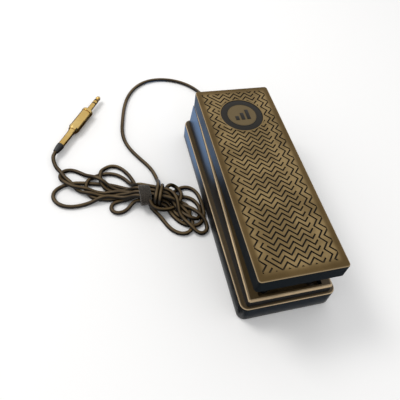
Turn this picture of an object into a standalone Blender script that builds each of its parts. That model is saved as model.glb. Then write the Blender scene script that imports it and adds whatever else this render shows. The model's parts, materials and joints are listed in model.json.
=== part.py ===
"""Volume pedal: a rocking treadle on a two-tier base, with its lead, strap and jack plug.

Metres, +Z up, +Y towards the toe end, +X to the player's right.
The origin is under the middle of the base, on the floor.
The treadle rests toe down, and its hinge turns heel down from there.
"""
import math

import bmesh
import bpy
from mathutils import Matrix, Vector

MM = 0.001
GAP = 0.3 * MM                      # clearance between pieces that touch

# ---- base ----
BASE_LENGTH = 260 * MM
BASE_WIDTH = 100 * MM
FLOOR_CLEARANCE = 2 * MM            # under the base's side walls
PLINTH_TOP = 24 * MM
PLINTH_CORNER = 8 * MM
PLINTH_EDGE = 1.6 * MM
TIER_HALF_WIDTH = 44.1 * MM
TIER_HEEL_Y = -127 * MM
TIER_CREST_Y = 112.5 * MM
TIER_TOE_Y = 127 * MM
TIER_HEEL_Z = 34.8 * MM
TIER_CREST_Z = 64.8 * MM
TIER_EDGE = 2.6 * MM
RAIL_INNER_X = 33 * MM
RECESS_HEEL_Y = -123 * MM
RECESS_TOE_Y = 100 * MM
DECK_TOP = 27 * MM
DECK_THICKNESS = 3 * MM
WALL = 3 * MM
PLINTH_WALL = 4 * MM
RAIL_HOLLOW_X = (36 * MM, 41 * MM)
PLATE_BOTTOM = 2.5 * MM
PLATE_THICKNESS = 1.6 * MM
BOSS_X = 28 * MM
BOSS_YS = (-105 * MM, 0.0, 90 * MM)
FOOT_RADIUS = 7 * MM
FOOT_X = 38 * MM
FOOT_Y = 112 * MM

# ---- treadle ----
PIVOT_Y = -25 * MM
PIVOT_Z = 38 * MM
REST_TILT = math.radians(1.0)
TREADLE_LENGTH = 244 * MM
TREADLE_HALF_WIDTH = 44.6 * MM
TREADLE_HEEL = -104.3 * MM          # heel edge, measured from the pivot
TREADLE_TOP = 44.4 * MM             # top face, measured from the pivot
SKIRT = 18.5 * MM
TREADLE_CORNER = 3.5 * MM
TREADLE_EDGE = 1.4 * MM
EAR_X = (22 * MM, 28 * MM)
EAR_RADIUS = 8 * MM
SHAFT_RADIUS = 3 * MM
SHAFT_BORE = 3.09 * MM
SHAFT_HALF = 39 * MM
BADGE_Y = 95.5 * MM                 # centre of the badge, measured from the pivot
BADGE_RADIUS = 24 * MM
TOE_RIB_Y = 131 * MM
TOE_RIB_LIFT = 2.4 * MM
HEEL_RIB_Y = -84 * MM
TOE_STOP_Y = 106 * MM
HEEL_STOP_Y = -113 * MM

# ---- gear train ----
MODULE = 1.25 * MM
SECTOR_TEETH = 96                   # teeth of the whole wheel the sector is cut from
PINION_TEETH = 16
MESH_ANGLE = math.radians(13)       # line of centres, in the treadle's own frame
TRAVEL = math.radians(14)
PRESSURE_ANGLE = math.radians(20)
SECTOR_X = 2 * MM                   # half thickness of the sector plate
BACKLASH = 0.25 * MM
POT_RADIUS = 8.5 * MM
BRACKET_X = 8 * MM
KNOB_Y = 62 * MM
POCKET_FLOOR_X = 40 * MM
SWITCH_X = -18 * MM
SWITCH_Y = 45 * MM

# ---- lead and plug ----
CORD_RADIUS = 2.3 * MM
EXIT_Z = 13 * MM
RELIEF_END = 158 * MM
STRAP_CENTRE = (-108.5 * MM, 28 * MM)
STRAP_ANGLE = math.radians(-22)
BUNDLE_HALF_WIDTH = 11.2 * MM
BUNDLE_Z = (4.9 * MM, 18.9 * MM)
STRAP_SPAN = (-14.2 * MM, -1.2 * MM)    # along the bundle, from the middle of its neck
WINDING_SPAN = (3.2 * MM, 15.2 * MM)
LOBE_HEIGHT = 10 * MM
PLUG_START = (-211 * MM, 113 * MM)
PLUG_ANGLE = math.radians(57)
PLUG_Z = 7.4 * MM

# Hand-laid routes of the lead, in millimetres: x, y, z of its centre line.
LEAD_ROUTE = (
    (0, 158.4, 13), (0, 170, 11.4), (-2, 185, 6.2), (-8, 202, 2.8), (-19, 219, 2.5), (-37, 233, 2.5),
    (-61, 240, 2.5), (-85, 236, 2.5), (-104, 220, 2.5), (-117, 195, 2.5), (-124, 166, 2.5),
    (-129, 138, 2.5), (-125, 117, 2.5), (-115, 96, 2.5), (-104.5, 79, 2.5), (-99, 64, 3.6), (-97.6, 54, 6.4),
    (-97.4, 46, 10.5),
)
TAIL_ROUTE = (
    (-206.5, 84, 2.5), (-210.4, 91, 2.8), (-213.2, 98, 4.0), (-214.4, 104, 6.0), (-213.6, 108.8, 7.2),
    (-211.5, 112.2, 7.4),
)
LEFT_LOBE = (
    (-119, 52), (-132, 74), (-149, 86.5), (-165, 84), (-184, 86), (-199, 87), (-204, 77), (-213, 64),
    (-219.5, 53), (-210, 34.5), (-187, 29), (-165, 31), (-152, 28), (-150, 19), (-137, 14), (-121, 19),
)
RIGHT_LOBE = (
    (-97, 50), (-83, 47.5), (-70, 42), (-58, 33), (-53.2, 18), (-53, 3), (-56.5, -11), (-66, -22),
    (-79, -27.5), (-92, -23.5), (-105, -9), (-112, 12),
)

SIDE_ON = Matrix(((0, 0, 1, 0), (1, 0, 0, 0), (0, 1, 0, 0), (0, 0, 0, 1)))


# ---------------------------------------------------------------- scene tools
def clear_scene():
    for thing in list(bpy.data.objects):
        bpy.data.objects.remove(thing, do_unlink=True)


def new_collection(name):
    made = bpy.data.collections.new(name)
    bpy.context.scene.collection.children.link(made)
    return made


clear_scene()
PARTS = new_collection("volume_pedal")
CUTTERS = new_collection("cutters")
MATERIALS = {}


def material(name, colour, roughness, metallic=0.0):
    """A Principled material, made once and shared by name."""
    if name in MATERIALS:
        return MATERIALS[name]
    made = bpy.data.materials.new(name)
    made.use_nodes = True
    shader = made.node_tree.nodes["Principled BSDF"]
    shader.inputs["Base Color"].default_value = (*colour, 1.0)
    shader.inputs["Roughness"].default_value = roughness
    shader.inputs["Metallic"].default_value = metallic
    made.diffuse_color = (*colour, 1.0)
    MATERIALS[name] = made
    return made


def black_plastic():
    return material("black_plastic", (0.030, 0.027, 0.024), 0.42)


def tread_plastic():
    return material("tread_plastic", (0.036, 0.030, 0.022), 0.50)


def badge_plastic():
    return material("badge_plastic", (0.010, 0.010, 0.010), 0.28)


def bright_steel():
    return material("bright_steel", (0.62, 0.62, 0.60), 0.28, 1.0)


def zinc_sheet():
    return material("zinc_sheet", (0.45, 0.46, 0.46), 0.45, 1.0)


def white_nylon():
    return material("white_nylon", (0.72, 0.71, 0.66), 0.45)


def black_rubber():
    return material("black_rubber", (0.018, 0.018, 0.018), 0.80)


def green_board():
    return material("green_board", (0.03, 0.16, 0.07), 0.40)


def cord_rubber():
    return material("cord_rubber", (0.035, 0.030, 0.024), 0.55)


def strap_fabric():
    return material("strap_fabric", (0.022, 0.020, 0.018), 0.90)


def gold_metal():
    return material("gold_metal", (0.83, 0.62, 0.28), 0.25, 1.0)


def insulator_black():
    return material("insulator_black", (0.015, 0.015, 0.015), 0.35)


def place(thing, paint, parent=None):
    """Put a finished piece in the parts collection, with its material and parent."""
    PARTS.objects.link(thing)
    thing.data.materials.append(paint)
    if parent is not None:
        thing.parent = parent
    return thing


def as_cutter(thing, parent=None):
    CUTTERS.objects.link(thing)
    thing.hide_render = True
    thing.display_type = "WIRE"
    if parent is not None:
        thing.parent = parent
    return thing


def combine(target, cutter, operation="DIFFERENCE"):
    step = target.modifiers.new(cutter.name, "BOOLEAN")
    step.operation = operation
    step.object = cutter
    step.solver = "EXACT"


def pivot_empty(name, y, z, x=0.0, tilt=0.0):
    made = bpy.data.objects.new(name, None)
    made.empty_display_size = 0.01
    made.location = (x, y, z)
    made.rotation_euler = (tilt, 0, 0)
    PARTS.objects.link(made)
    return made


# ---------------------------------------------------------------- shape tools
def mesh_object(name, form):
    mesh = bpy.data.meshes.new(name)
    form.to_mesh(mesh)
    form.free()
    return bpy.data.objects.new(name, mesh)


def box(name, low, high):
    """A box from its lowest and highest corners."""
    form = bmesh.new()
    size = [high[i] - low[i] for i in range(3)]
    middle = [(high[i] + low[i]) / 2 for i in range(3)]
    bmesh.ops.create_cube(form, size=1.0, matrix=Matrix.Translation(middle) @ Matrix.Diagonal((*size, 1)))
    return mesh_object(name, form)


def cylinder(name, radius, start, length, axis="Z", sides=32):
    """A cylinder that begins at start and runs along +axis."""
    form = bmesh.new()
    turn = {"X": Matrix.Rotation(math.pi / 2, 4, "Y"), "Y": Matrix.Rotation(-math.pi / 2, 4, "X")}
    lie = turn.get(axis, Matrix.Identity(4))
    shift = Matrix.Translation(Vector(start)) @ lie @ Matrix.Translation((0, 0, length / 2))
    bmesh.ops.create_cone(form, cap_ends=True, segments=sides, radius1=radius, radius2=radius,
                          depth=length, matrix=shift)
    return shade_round(mesh_object(name, form))


def shade_round(thing, degrees=35):
    thing.data.shade_smooth()
    thing.data.set_sharp_from_angle(angle=math.radians(degrees))
    return thing


def turned(name, profile, start, axis="Z", steps=24, closed=False):
    """A turned solid: (radius, height) pairs from top to bottom, swept about its axis."""
    mesh = bpy.data.meshes.new(name)
    points = [(r, 0.0, h) for r, h in profile]
    edges = [(i, i + 1) for i in range(len(points) - 1)]
    if closed:
        edges.append((len(points) - 1, 0))
    mesh.from_pydata(points, edges, [])
    made = bpy.data.objects.new(name, mesh)
    sweep = made.modifiers.new("turn", "SCREW")
    sweep.steps = steps
    sweep.render_steps = steps
    sweep.use_merge_vertices = True
    sweep.merge_threshold = 0.00001
    sweep.use_smooth_shade = True
    made.location = start
    turns = {"X": (0, math.pi / 2, 0), "Y": (-math.pi / 2, 0, 0), "Z": (0, 0, 0)}
    made.rotation_euler = turns[axis]
    return made


def outline_plate(name, outlines, thickness, matrix=None):
    """A flat plate from closed outlines; the first is the edge and the rest are holes."""
    curve = bpy.data.curves.new(name, "CURVE")
    curve.dimensions = "2D"
    curve.fill_mode = "BOTH"
    curve.extrude = thickness / 2
    for outline in outlines:
        spline = curve.splines.new("POLY")
        spline.points.add(len(outline) - 1)
        for point, (x, y) in zip(spline.points, outline):
            point.co = (x, y, 0, 1)
        spline.use_cyclic_u = True
    return curve_to_mesh(name, curve, matrix)


def curve_to_mesh(name, curve, matrix=None):
    """Turn a curve into one welded mesh with its place in the mesh."""
    source = bpy.data.objects.new(name + "_curve", curve)
    CUTTERS.objects.link(source)
    bpy.context.view_layer.update()
    shape = source.evaluated_get(bpy.context.evaluated_depsgraph_get())
    mesh = bpy.data.meshes.new_from_object(shape)
    bpy.data.objects.remove(source, do_unlink=True)
    form = bmesh.new()
    form.from_mesh(mesh)
    bmesh.ops.remove_doubles(form, verts=form.verts, dist=0.000001)
    bmesh.ops.dissolve_limit(form, angle_limit=0.001, verts=form.verts, edges=form.edges)
    if matrix is not None:
        bmesh.ops.transform(form, matrix=matrix, verts=form.verts)
    bmesh.ops.recalc_face_normals(form, faces=form.faces)
    return mesh_object(name, form)


def arc(centre_x, centre_y, radius, start, end, steps):
    """Points on an arc from one angle to another, in degrees, both ends included."""
    angles = [math.radians(start + (end - start) * i / steps) for i in range(steps + 1)]
    return [(centre_x + radius * math.cos(a), centre_y + radius * math.sin(a)) for a in angles]


def round_rectangle(low_x, low_y, high_x, high_y, radius, steps=6):
    outline = arc(high_x - radius, high_y - radius, radius, 0, 90, steps)
    outline += arc(low_x + radius, high_y - radius, radius, 90, 180, steps)
    outline += arc(low_x + radius, low_y + radius, radius, 180, 270, steps)
    outline += arc(high_x - radius, low_y + radius, radius, 270, 360, steps)
    return outline


def round_edges(thing, chosen, width, segments=3):
    """Bevel the sharp edges that the test picks."""
    form = bmesh.new()
    form.from_mesh(thing.data)
    picked = []
    for edge in form.edges:
        if len(edge.link_faces) == 2 and edge.calc_face_angle() > math.radians(30) and chosen(edge):
            picked.append(edge)
    bmesh.ops.bevel(form, geom=picked, offset=width, segments=segments, profile=0.5,
                    affect="EDGES", clamp_overlap=True)
    form.to_mesh(thing.data)
    form.free()
    return thing


def smooth_path(points, spacing, closed=False):
    """Points about one spacing apart on a Catmull-Rom curve through the given ones."""
    given = [Vector(p) for p in points]
    count = len(given)
    path = []
    spans = count if closed else count - 1
    for i in range(spans):
        if closed:
            a, b, c, d = (given[(i + k - 1) % count] for k in range(4))
        else:
            a, b, c, d = (given[min(max(i + k - 1, 0), count - 1)] for k in range(4))
        pieces = max(1, round((c - b).length / spacing))
        for k in range(pieces):
            t = k / pieces
            path.append(0.5 * (2 * b + (c - a) * t + (2 * a - 5 * b + 4 * c - d) * t ** 2
                               + (3 * b - a - 3 * c + d) * t ** 3))
    if not closed:
        path.append(given[-1])
    return path


def tube(name, path, radius, resolution=2):
    """A round tube along a path, as a curve with filled caps."""
    curve = bpy.data.curves.new(name, "CURVE")
    curve.dimensions = "3D"
    curve.bevel_depth = radius
    curve.bevel_resolution = resolution
    curve.use_fill_caps = True
    spline = curve.splines.new("POLY")
    spline.points.add(len(path) - 1)
    for point, co in zip(spline.points, path):
        point.co = (*co, 1)
    return bpy.data.objects.new(name, curve)


# ---------------------------------------------------------------- base
def tier_slope():
    return (TIER_CREST_Z - TIER_HEEL_Z) / (TIER_CREST_Y - TIER_HEEL_Y)


def tier_top(y):
    """Height of the upper tier's sloping top at a distance along the base."""
    return TIER_HEEL_Z + tier_slope() * (y - TIER_HEEL_Y)


def tier_profile():
    """Side outline of the upper tier: low heel, long slope, rounded crest, raked toe."""
    radius = 3 * MM
    heel = arc(TIER_HEEL_Y + radius, TIER_HEEL_Z - radius, radius, 180, 100, 4)
    crest = arc(TIER_CREST_Y - 2 * MM, TIER_CREST_Z - 9 * MM, 9 * MM, 90, 22, 6)
    low = PLINTH_TOP - 2 * MM
    return [(TIER_TOE_Y, low), (TIER_HEEL_Y, low)] + heel + crest + [(TIER_TOE_Y, PLINTH_TOP)]


def base_blank():
    half_x = BASE_WIDTH / 2
    half_y = BASE_LENGTH / 2
    height = PLINTH_TOP - FLOOR_CLEARANCE
    raise_it = Matrix.Translation((0, 0, FLOOR_CLEARANCE + height / 2))
    outline = round_rectangle(-half_x, -half_y, half_x, half_y, PLINTH_CORNER)
    shell = outline_plate("base_shell", [outline], height, raise_it)
    top = PLINTH_TOP - 0.1 * MM
    round_edges(shell, lambda e: min(v.co.z for v in e.verts) > top, PLINTH_EDGE)
    tier = outline_plate("upper_tier", [tier_profile()], 2 * TIER_HALF_WIDTH, SIDE_ON)
    side = TIER_HALF_WIDTH - 0.1 * MM
    round_edges(tier, lambda e: min(abs(v.co.x) for v in e.verts) > side
                and max(v.co.z for v in e.verts) > PLINTH_TOP, TIER_EDGE)
    combine(shell, as_cutter(tier), "UNION")
    return shell


def hollow_base(shell):
    """Open the underside, the two rails, the toe end and the recess between the rails."""
    inner_x = BASE_WIDTH / 2 - PLINTH_WALL
    inner_y = BASE_LENGTH / 2 - PLINTH_WALL
    below = -1 * MM
    ledge = PLINTH_TOP - WALL
    deck = DECK_TOP - DECK_THICKNESS
    cuts = [
        box("plinth_hollow", (-inner_x, -inner_y, below), (inner_x, inner_y, ledge)),
        box("deck_hollow", (-RAIL_INNER_X, -120 * MM, below), (RAIL_INNER_X, 120 * MM, deck)),
        box("recess", (-RAIL_INNER_X, RECESS_HEEL_Y, DECK_TOP), (RAIL_INNER_X, RECESS_TOE_Y, 0.1)),
    ]
    roof = 4 * MM
    start = -119 * MM
    end = RECESS_TOE_Y
    rail = [(start, below), (end, below), (end, tier_top(end) - roof), (start, tier_top(start) - roof)]
    rail_width = RAIL_HOLLOW_X[1] - RAIL_HOLLOW_X[0]
    for side, sign in (("left", -1), ("right", 1)):
        middle = Matrix.Translation((sign * (RAIL_HOLLOW_X[0] + rail_width / 2), 0, 0))
        cuts.append(outline_plate("rail_hollow_" + side, [rail], rail_width, middle @ SIDE_ON))
    near = RECESS_TOE_Y + WALL
    toe = [(near, below), (122 * MM, below), (122 * MM, PLINTH_TOP), (110.5 * MM, 56 * MM),
           (109 * MM, 59.5 * MM), (near, 59.5 * MM)]
    cuts.append(outline_plate("toe_hollow", [toe], 2 * RAIL_HOLLOW_X[1], SIDE_ON))
    for cutter in cuts:
        combine(shell, as_cutter(cutter))


def add_bosses(shell):
    low = PLATE_BOTTOM + PLATE_THICKNESS + GAP
    top = DECK_TOP - DECK_THICKNESS + 0.5 * MM
    for number, (x, y) in enumerate(screw_places(), 1):
        boss = cylinder(f"boss_{number}", 4 * MM, (x, y, low), top - low, sides=20)
        combine(shell, as_cutter(boss), "UNION")
        hole = cylinder(f"boss_hole_{number}", 1.6 * MM, (x, y, 0), 17 * MM, sides=16)
        combine(shell, as_cutter(hole))


def screw_places():
    return [(sign * BOSS_X, y) for y in BOSS_YS for sign in (-1, 1)]


def add_knob_pocket(shell):
    """A walled pocket in the right side, which keeps the range knob flush."""
    half = 10 * MM
    wall = 3 * MM
    side = BASE_WIDTH / 2
    ledge = PLINTH_TOP - WALL
    low = PLATE_BOTTOM + PLATE_THICKNESS + GAP
    housing = box("knob_housing", (POCKET_FLOOR_X - wall, KNOB_Y - half - wall, low),
                  (side - 1 * MM, KNOB_Y + half + wall, ledge + 0.5 * MM))
    combine(shell, as_cutter(housing), "UNION")
    pocket = box("knob_pocket", (POCKET_FLOOR_X, KNOB_Y - half, EXIT_Z - 7 * MM),
                 (side + 1 * MM, KNOB_Y + half, EXIT_Z + 7 * MM))
    combine(shell, as_cutter(pocket))


def base_holes(shell):
    """Bearing bores, lead exit, knob hole, wire pass and bracket screw holes."""
    bore = cylinder("bearing_bore", 5.1 * MM, (-RAIL_HOLLOW_X[0] - 1 * MM, PIVOT_Y, PIVOT_Z),
                    2 * RAIL_HOLLOW_X[0] + 2 * MM, "X", 32)
    holes = [
        bore,
        cylinder("lead_hole", 4.2 * MM, (0, 120 * MM, EXIT_Z), 12 * MM, "Y", 24),
        cylinder("knob_hole", 3.6 * MM, (POCKET_FLOOR_X - 5 * MM, KNOB_Y, EXIT_Z), 8 * MM, "X", 24),
        cylinder("wire_hole", 4 * MM, (22 * MM, 62 * MM, 20 * MM), 9 * MM, sides=20),
    ]
    for number, (x, y) in enumerate(bracket_screw_places(), 1):
        holes.append(cylinder(f"bracket_hole_{number}", 1.5 * MM, (x, y, 20 * MM), 9 * MM, sides=16))
    for hole in holes:
        combine(shell, as_cutter(hole))


def bracket_screw_places():
    return [(17 * MM, pinion_centre()[0] + offset) for offset in (-8 * MM, 8 * MM)]


def make_base():
    shell = base_blank()
    hollow_base(shell)
    add_bosses(shell)
    add_knob_pocket(shell)
    base_holes(shell)
    place(shell, black_plastic())


def make_bottom_plate():
    inset = PLINTH_WALL + 0.4 * MM
    half_x = BASE_WIDTH / 2 - inset
    half_y = BASE_LENGTH / 2 - inset
    edge = round_rectangle(-half_x, -half_y, half_x, half_y, 0.5 * MM, 2)
    holes = [arc(x, y, 1.7 * MM, 0, 345, 15) for x, y in screw_places()]
    slot = round_rectangle(SWITCH_X - 2.3 * MM, SWITCH_Y - 2.4 * MM, SWITCH_X + 2.3 * MM,
                           SWITCH_Y + 5.4 * MM, 0.5 * MM, 2)
    raise_it = Matrix.Translation((0, 0, PLATE_BOTTOM + PLATE_THICKNESS / 2))
    plate = outline_plate("bottom_plate", [edge] + holes + [slot], PLATE_THICKNESS, raise_it)
    place(plate, zinc_sheet())


def make_feet():
    for number, (x, y) in enumerate([(sx * FOOT_X, sy * FOOT_Y) for sy in (-1, 1) for sx in (-1, 1)], 1):
        height = PLATE_BOTTOM - GAP
        profile = [(0, height), (FOOT_RADIUS, height), (FOOT_RADIUS, 0.5 * MM),
                   (FOOT_RADIUS - 0.6 * MM, 0), (0, 0)]
        place(turned(f"foot_{number}", profile, (x, y, 0), steps=24), black_rubber())


def pan_screw(name, head_radius, head_height, shank_radius, shank_length):
    """A pan-head screw along +Z: its head's underside is at zero and its shank points down."""
    profile = [(0, head_height), (head_radius * 0.7, head_height), (head_radius, head_height * 0.45),
               (head_radius, 0), (shank_radius, 0), (shank_radius, -shank_length + shank_radius),
               (0.3 * MM, -shank_length), (0, -shank_length)]
    return turned(name, profile, (0, 0, 0), steps=16)


def make_plate_screws():
    for number, (x, y) in enumerate(screw_places(), 1):
        screw = pan_screw(f"plate_screw_{number}", 3 * MM, 1.2 * MM, 1.3 * MM, 13 * MM)
        screw.location = (x, y, PLATE_BOTTOM - GAP)
        screw.rotation_euler = (math.pi, 0, 0)
        place(screw, bright_steel())


def make_bearings():
    """Flanged bushes in the rails and a friction washer inside each."""
    flange = 2 * MM
    for side, sign in (("left", -1), ("right", 1)):
        inner = RAIL_INNER_X - GAP
        profile = [(SHAFT_BORE, flange), (6.8 * MM, flange), (6.8 * MM, 0), (5 * MM, 0),
                   (5 * MM, -WALL - GAP), (SHAFT_BORE, -WALL - GAP)]
        bush = turned("bushing_" + side, profile, (sign * inner, PIVOT_Y, PIVOT_Z), "X", 48, closed=True)
        bush.rotation_euler = (0, -sign * math.pi / 2, 0)
        place(bush, white_nylon())
        start = EAR_X[1] + GAP
        width = inner - flange - GAP - start
        ring = [(SHAFT_BORE, width / 2), (7 * MM, width / 2), (7 * MM, -width / 2), (SHAFT_BORE, -width / 2)]
        washer = turned("friction_washer_" + side, ring,
                        (sign * (start + width / 2), PIVOT_Y, PIVOT_Z), "X", 48, closed=True)
        place(washer, black_rubber())


def make_bumpers():
    """Rubber stops: pads on the crest under the toe rib, and posts on the deck under the heel rib."""
    lean = math.atan(tier_slope())
    stops = (
        ("toe", TOE_STOP_Y, 25 * MM, 4.5 * MM, 3.5 * MM, tier_top(TOE_STOP_Y), lean),
        ("heel", HEEL_STOP_Y, 24 * MM, 5 * MM, 13.2 * MM, DECK_TOP, 0.0),
    )
    for end, y, x, radius, height, floor, tilt in stops:
        profile = [(0, height), (radius - 0.5 * MM, height), (radius, height - 0.5 * MM), (radius, 0), (0, 0)]
        for side, sign in (("left", -1), ("right", 1)):
            bumper = turned(f"{end}_bumper_{side}", profile, (sign * x, y, floor + GAP), steps=20)
            bumper.rotation_euler = (tilt, 0, 0)
            place(bumper, black_rubber())


# ---------------------------------------------------------------- gear train and electrics
def pitch_radius(teeth):
    return MODULE * teeth / 2


def pinion_centre():
    """Y and Z of the pinion's axis, on the line of centres at rest."""
    reach = pitch_radius(SECTOR_TEETH) + pitch_radius(PINION_TEETH)
    angle = MESH_ANGLE + REST_TILT
    return PIVOT_Y + reach * math.cos(angle), PIVOT_Z + reach * math.sin(angle)


def involute(angle):
    return math.tan(angle) - angle


def tooth(teeth, middle):
    """Outline of one involute tooth about the origin, from its lower root to its upper root."""
    pitch = pitch_radius(teeth)
    base = pitch * math.cos(PRESSURE_ANGLE)
    half = math.pi / (2 * teeth) - BACKLASH / (4 * pitch)
    root = pitch - 1.2 * MODULE
    tip = pitch + 0.8 * MODULE
    radii = [max(base, root + 0.05 * MM), pitch, (pitch + tip) / 2, tip]
    flank = []
    for radius in radii:
        spread = half + involute(PRESSURE_ANGLE) - involute(math.acos(min(1.0, base / radius)))
        flank.append((radius, spread))
    lower = [(root, -flank[0][1] * 1.02)] + [(r, -s) for r, s in flank]
    upper = [(r, s) for r, s in reversed(flank)] + [(root, flank[0][1] * 1.02)]
    return [(r * math.cos(middle + s), r * math.sin(middle + s)) for r, s in lower + upper]


def sector_outline():
    """The treadle's gear sector with its hub and its upright tab."""
    pitch_step = 2 * math.pi / SECTOR_TEETH
    first = MESH_ANGLE - (math.ceil(TRAVEL / pitch_step) + 2) * pitch_step
    count = math.ceil(TRAVEL / pitch_step) + 5
    outline = []
    for number in range(count):
        outline += tooth(SECTOR_TEETH, first + number * pitch_step)
    last = first + (count - 0.5) * pitch_step
    rim = pitch_radius(SECTOR_TEETH) - 6 * MM
    outline.append((rim * math.cos(last), rim * math.sin(last)))
    tab = TREADLE_TOP - WALL - GAP
    outline += [(12 * MM, 14 * MM), (10 * MM, 20 * MM), (10 * MM, tab), (-10 * MM, tab), (-10 * MM, 20 * MM)]
    outline += arc(0, 0, EAR_RADIUS, 160, 290, 8)
    low = first - 0.5 * pitch_step
    outline.append((rim * math.cos(low), rim * math.sin(low)))
    return outline


def tab_screw_places():
    """Where the sector's tab is screwed to the treadle's block, from the pivot."""
    return [(-5 * MM, 32 * MM), (5 * MM, 32 * MM)]


def make_sector(pivot):
    holes = [arc(0, 0, SHAFT_BORE, 0, 352.5, 47)]
    holes += [arc(y, z, 1.5 * MM, 0, 337.5, 15) for y, z in tab_screw_places()]
    sector = outline_plate("sector_gear", [sector_outline()] + holes, 2 * SECTOR_X, SIDE_ON)
    place(sector, white_nylon(), pivot)
    for number, (y, z) in enumerate(tab_screw_places(), 1):
        screw = pan_screw(f"sector_screw_{number}", 2.6 * MM, 1.6 * MM, 1.3 * MM, 8.5 * MM)
        screw.location = (SECTOR_X + GAP, y, z)
        screw.rotation_euler = (0, math.pi / 2, 0)
        place(screw, bright_steel(), pivot)


def make_pinion(pot_axis):
    teeth = []
    step = 2 * math.pi / PINION_TEETH
    facing = math.pi + MESH_ANGLE + REST_TILT
    for number in range(PINION_TEETH):
        teeth += tooth(PINION_TEETH, facing + (number + 0.5) * step)
    bore = arc(0, 0, SHAFT_BORE, 0, 352.5, 47)
    pinion = outline_plate("pinion", [teeth, bore], 2 * SECTOR_X + 1 * MM, SIDE_ON)
    place(pinion, white_nylon(), pot_axis)
    shaft = cylinder("pot_shaft", SHAFT_RADIUS, (-3.5 * MM, 0, 0), 15 * MM, "X", 48)
    place(shaft, bright_steel(), pot_axis)


def make_pot():
    """The potentiometer on its bracket, with the nut that clamps it."""
    y, z = pinion_centre()
    back = BRACKET_X + 1.5 * MM + GAP
    profile = [(0, 19.5 * MM), (POT_RADIUS, 19.5 * MM), (POT_RADIUS, back), (3.6 * MM, back),
               (3.6 * MM, 5 * MM), (SHAFT_BORE, 5 * MM), (SHAFT_BORE, 13 * MM), (0, 13 * MM)]
    body = turned("pot_body", profile, (0, y, z), "X", 32)
    place(body, zinc_sheet())
    hexagon = [(6.2 * MM * math.cos(a), 6.2 * MM * math.sin(a)) for a in (math.pi / 3 * k for k in range(6))]
    bore = arc(0, 0, 3.8 * MM, 0, 345, 23)
    where = Matrix.Translation((BRACKET_X - GAP - 1 * MM, y, z))
    place(outline_plate("pot_nut", [hexagon, bore], 2 * MM, where @ SIDE_ON), bright_steel())


def make_bracket():
    y, z = pinion_centre()
    bottom = DECK_TOP + GAP
    half = 12 * MM
    sheet = 1.5 * MM
    outline = [(y - half, bottom), (y + half, bottom), (y + half, z + 4 * MM)]
    outline += arc(y, z, 11 * MM, 20, 160, 8)
    outline.append((y - half, z + 4 * MM))
    upright = Matrix.Translation((BRACKET_X + sheet / 2, 0, 0)) @ SIDE_ON
    bracket = outline_plate("pot_bracket", [outline, arc(y, z, 4 * MM, 0, 345, 23)], sheet, upright)
    flange = box("bracket_flange", (BRACKET_X, y - half, bottom), (24 * MM, y + half, bottom + sheet))
    combine(bracket, as_cutter(flange), "UNION")
    for number, (sx, sy) in enumerate(bracket_screw_places(), 1):
        hole = cylinder(f"flange_hole_{number}", 1.5 * MM, (sx, sy, bottom - 1 * MM), 4 * MM, sides=16)
        combine(bracket, as_cutter(hole))
        screw = pan_screw(f"bracket_screw_{number}", 2.6 * MM, 1.6 * MM, 1.3 * MM, 6 * MM)
        screw.location = (sx, sy, bottom + sheet + GAP)
        place(screw, bright_steel())
    place(bracket, zinc_sheet())


def make_board():
    """The circuit board, the range control and its wires, under the deck."""
    board = box("circuit_board", (-6 * MM, 48 * MM, 17 * MM), (24 * MM, 80 * MM, 18.6 * MM))
    place(board, green_board())
    wires = [(22, 62, 19), (22, 62, 24), (22, 60.5, 30), (21.5, 56, 38), (16, 51.5, 44.5), (14.5, 50, 45)]
    path = smooth_path([Vector(p) * MM for p in wires], 4 * MM)
    place(tube("pot_wires", path, 1.6 * MM, 1), cord_rubber())
    inner = [(0, 123.5, 13), (0, 112, 13), (1, 100, 14), (3, 88, 16.5), (4, 81, 17.8)]
    path = smooth_path([Vector(p) * MM for p in inner], 6 * MM)
    place(tube("inner_lead", path, 1.6 * MM, 1), cord_rubber())


def make_range_control():
    """Range potentiometer behind the pocket, with its shaft and flush knob in the pocket."""
    radius = 6 * MM
    neck = 3.4 * MM
    profile = [(0, -4 * MM), (SHAFT_BORE, -4 * MM), (SHAFT_BORE, 3.2 * MM), (neck, 3.2 * MM), (neck, 0),
               (radius, 0), (radius, -9 * MM), (0, -9 * MM)]
    body = turned("range_pot_body", profile, (POCKET_FLOOR_X - 3 * MM - GAP, KNOB_Y, EXIT_Z), "X", 32)
    place(body, zinc_sheet())
    axis = pivot_empty("range_axis", KNOB_Y, EXIT_Z)
    shaft = cylinder("range_shaft", SHAFT_RADIUS, (POCKET_FLOOR_X - 6 * MM, 0, 0), 11.6 * MM, "X", 48)
    place(shaft, bright_steel(), axis)
    depth = BASE_WIDTH / 2 - POCKET_FLOOR_X - 1 * MM
    blind = 5.2 * MM
    grip = [(0, depth), (radius - 1.2 * MM, depth), (radius - 0.5 * MM, depth - 0.8 * MM), (radius, 0),
            (SHAFT_BORE, 0), (SHAFT_BORE, blind), (0, blind)]
    knob = turned("range_knob", grip, (POCKET_FLOOR_X + 0.6 * MM, 0, 0), "X", 36)
    place(knob, black_plastic(), axis)


def make_polarity_switch():
    plate_top = PLATE_BOTTOM + PLATE_THICKNESS
    low = plate_top + GAP
    body = box("polarity_switch_body", (SWITCH_X - 4 * MM, SWITCH_Y - 5.5 * MM, low),
               (SWITCH_X + 4 * MM, SWITCH_Y + 8.5 * MM, low + 6 * MM))
    place(body, zinc_sheet())
    slider = box("polarity_slider", (SWITCH_X - 1.8 * MM, SWITCH_Y - 1.8 * MM, 1.3 * MM),
                 (SWITCH_X + 1.8 * MM, SWITCH_Y + 1.8 * MM, plate_top))
    place(slider, insulator_black())


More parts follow.
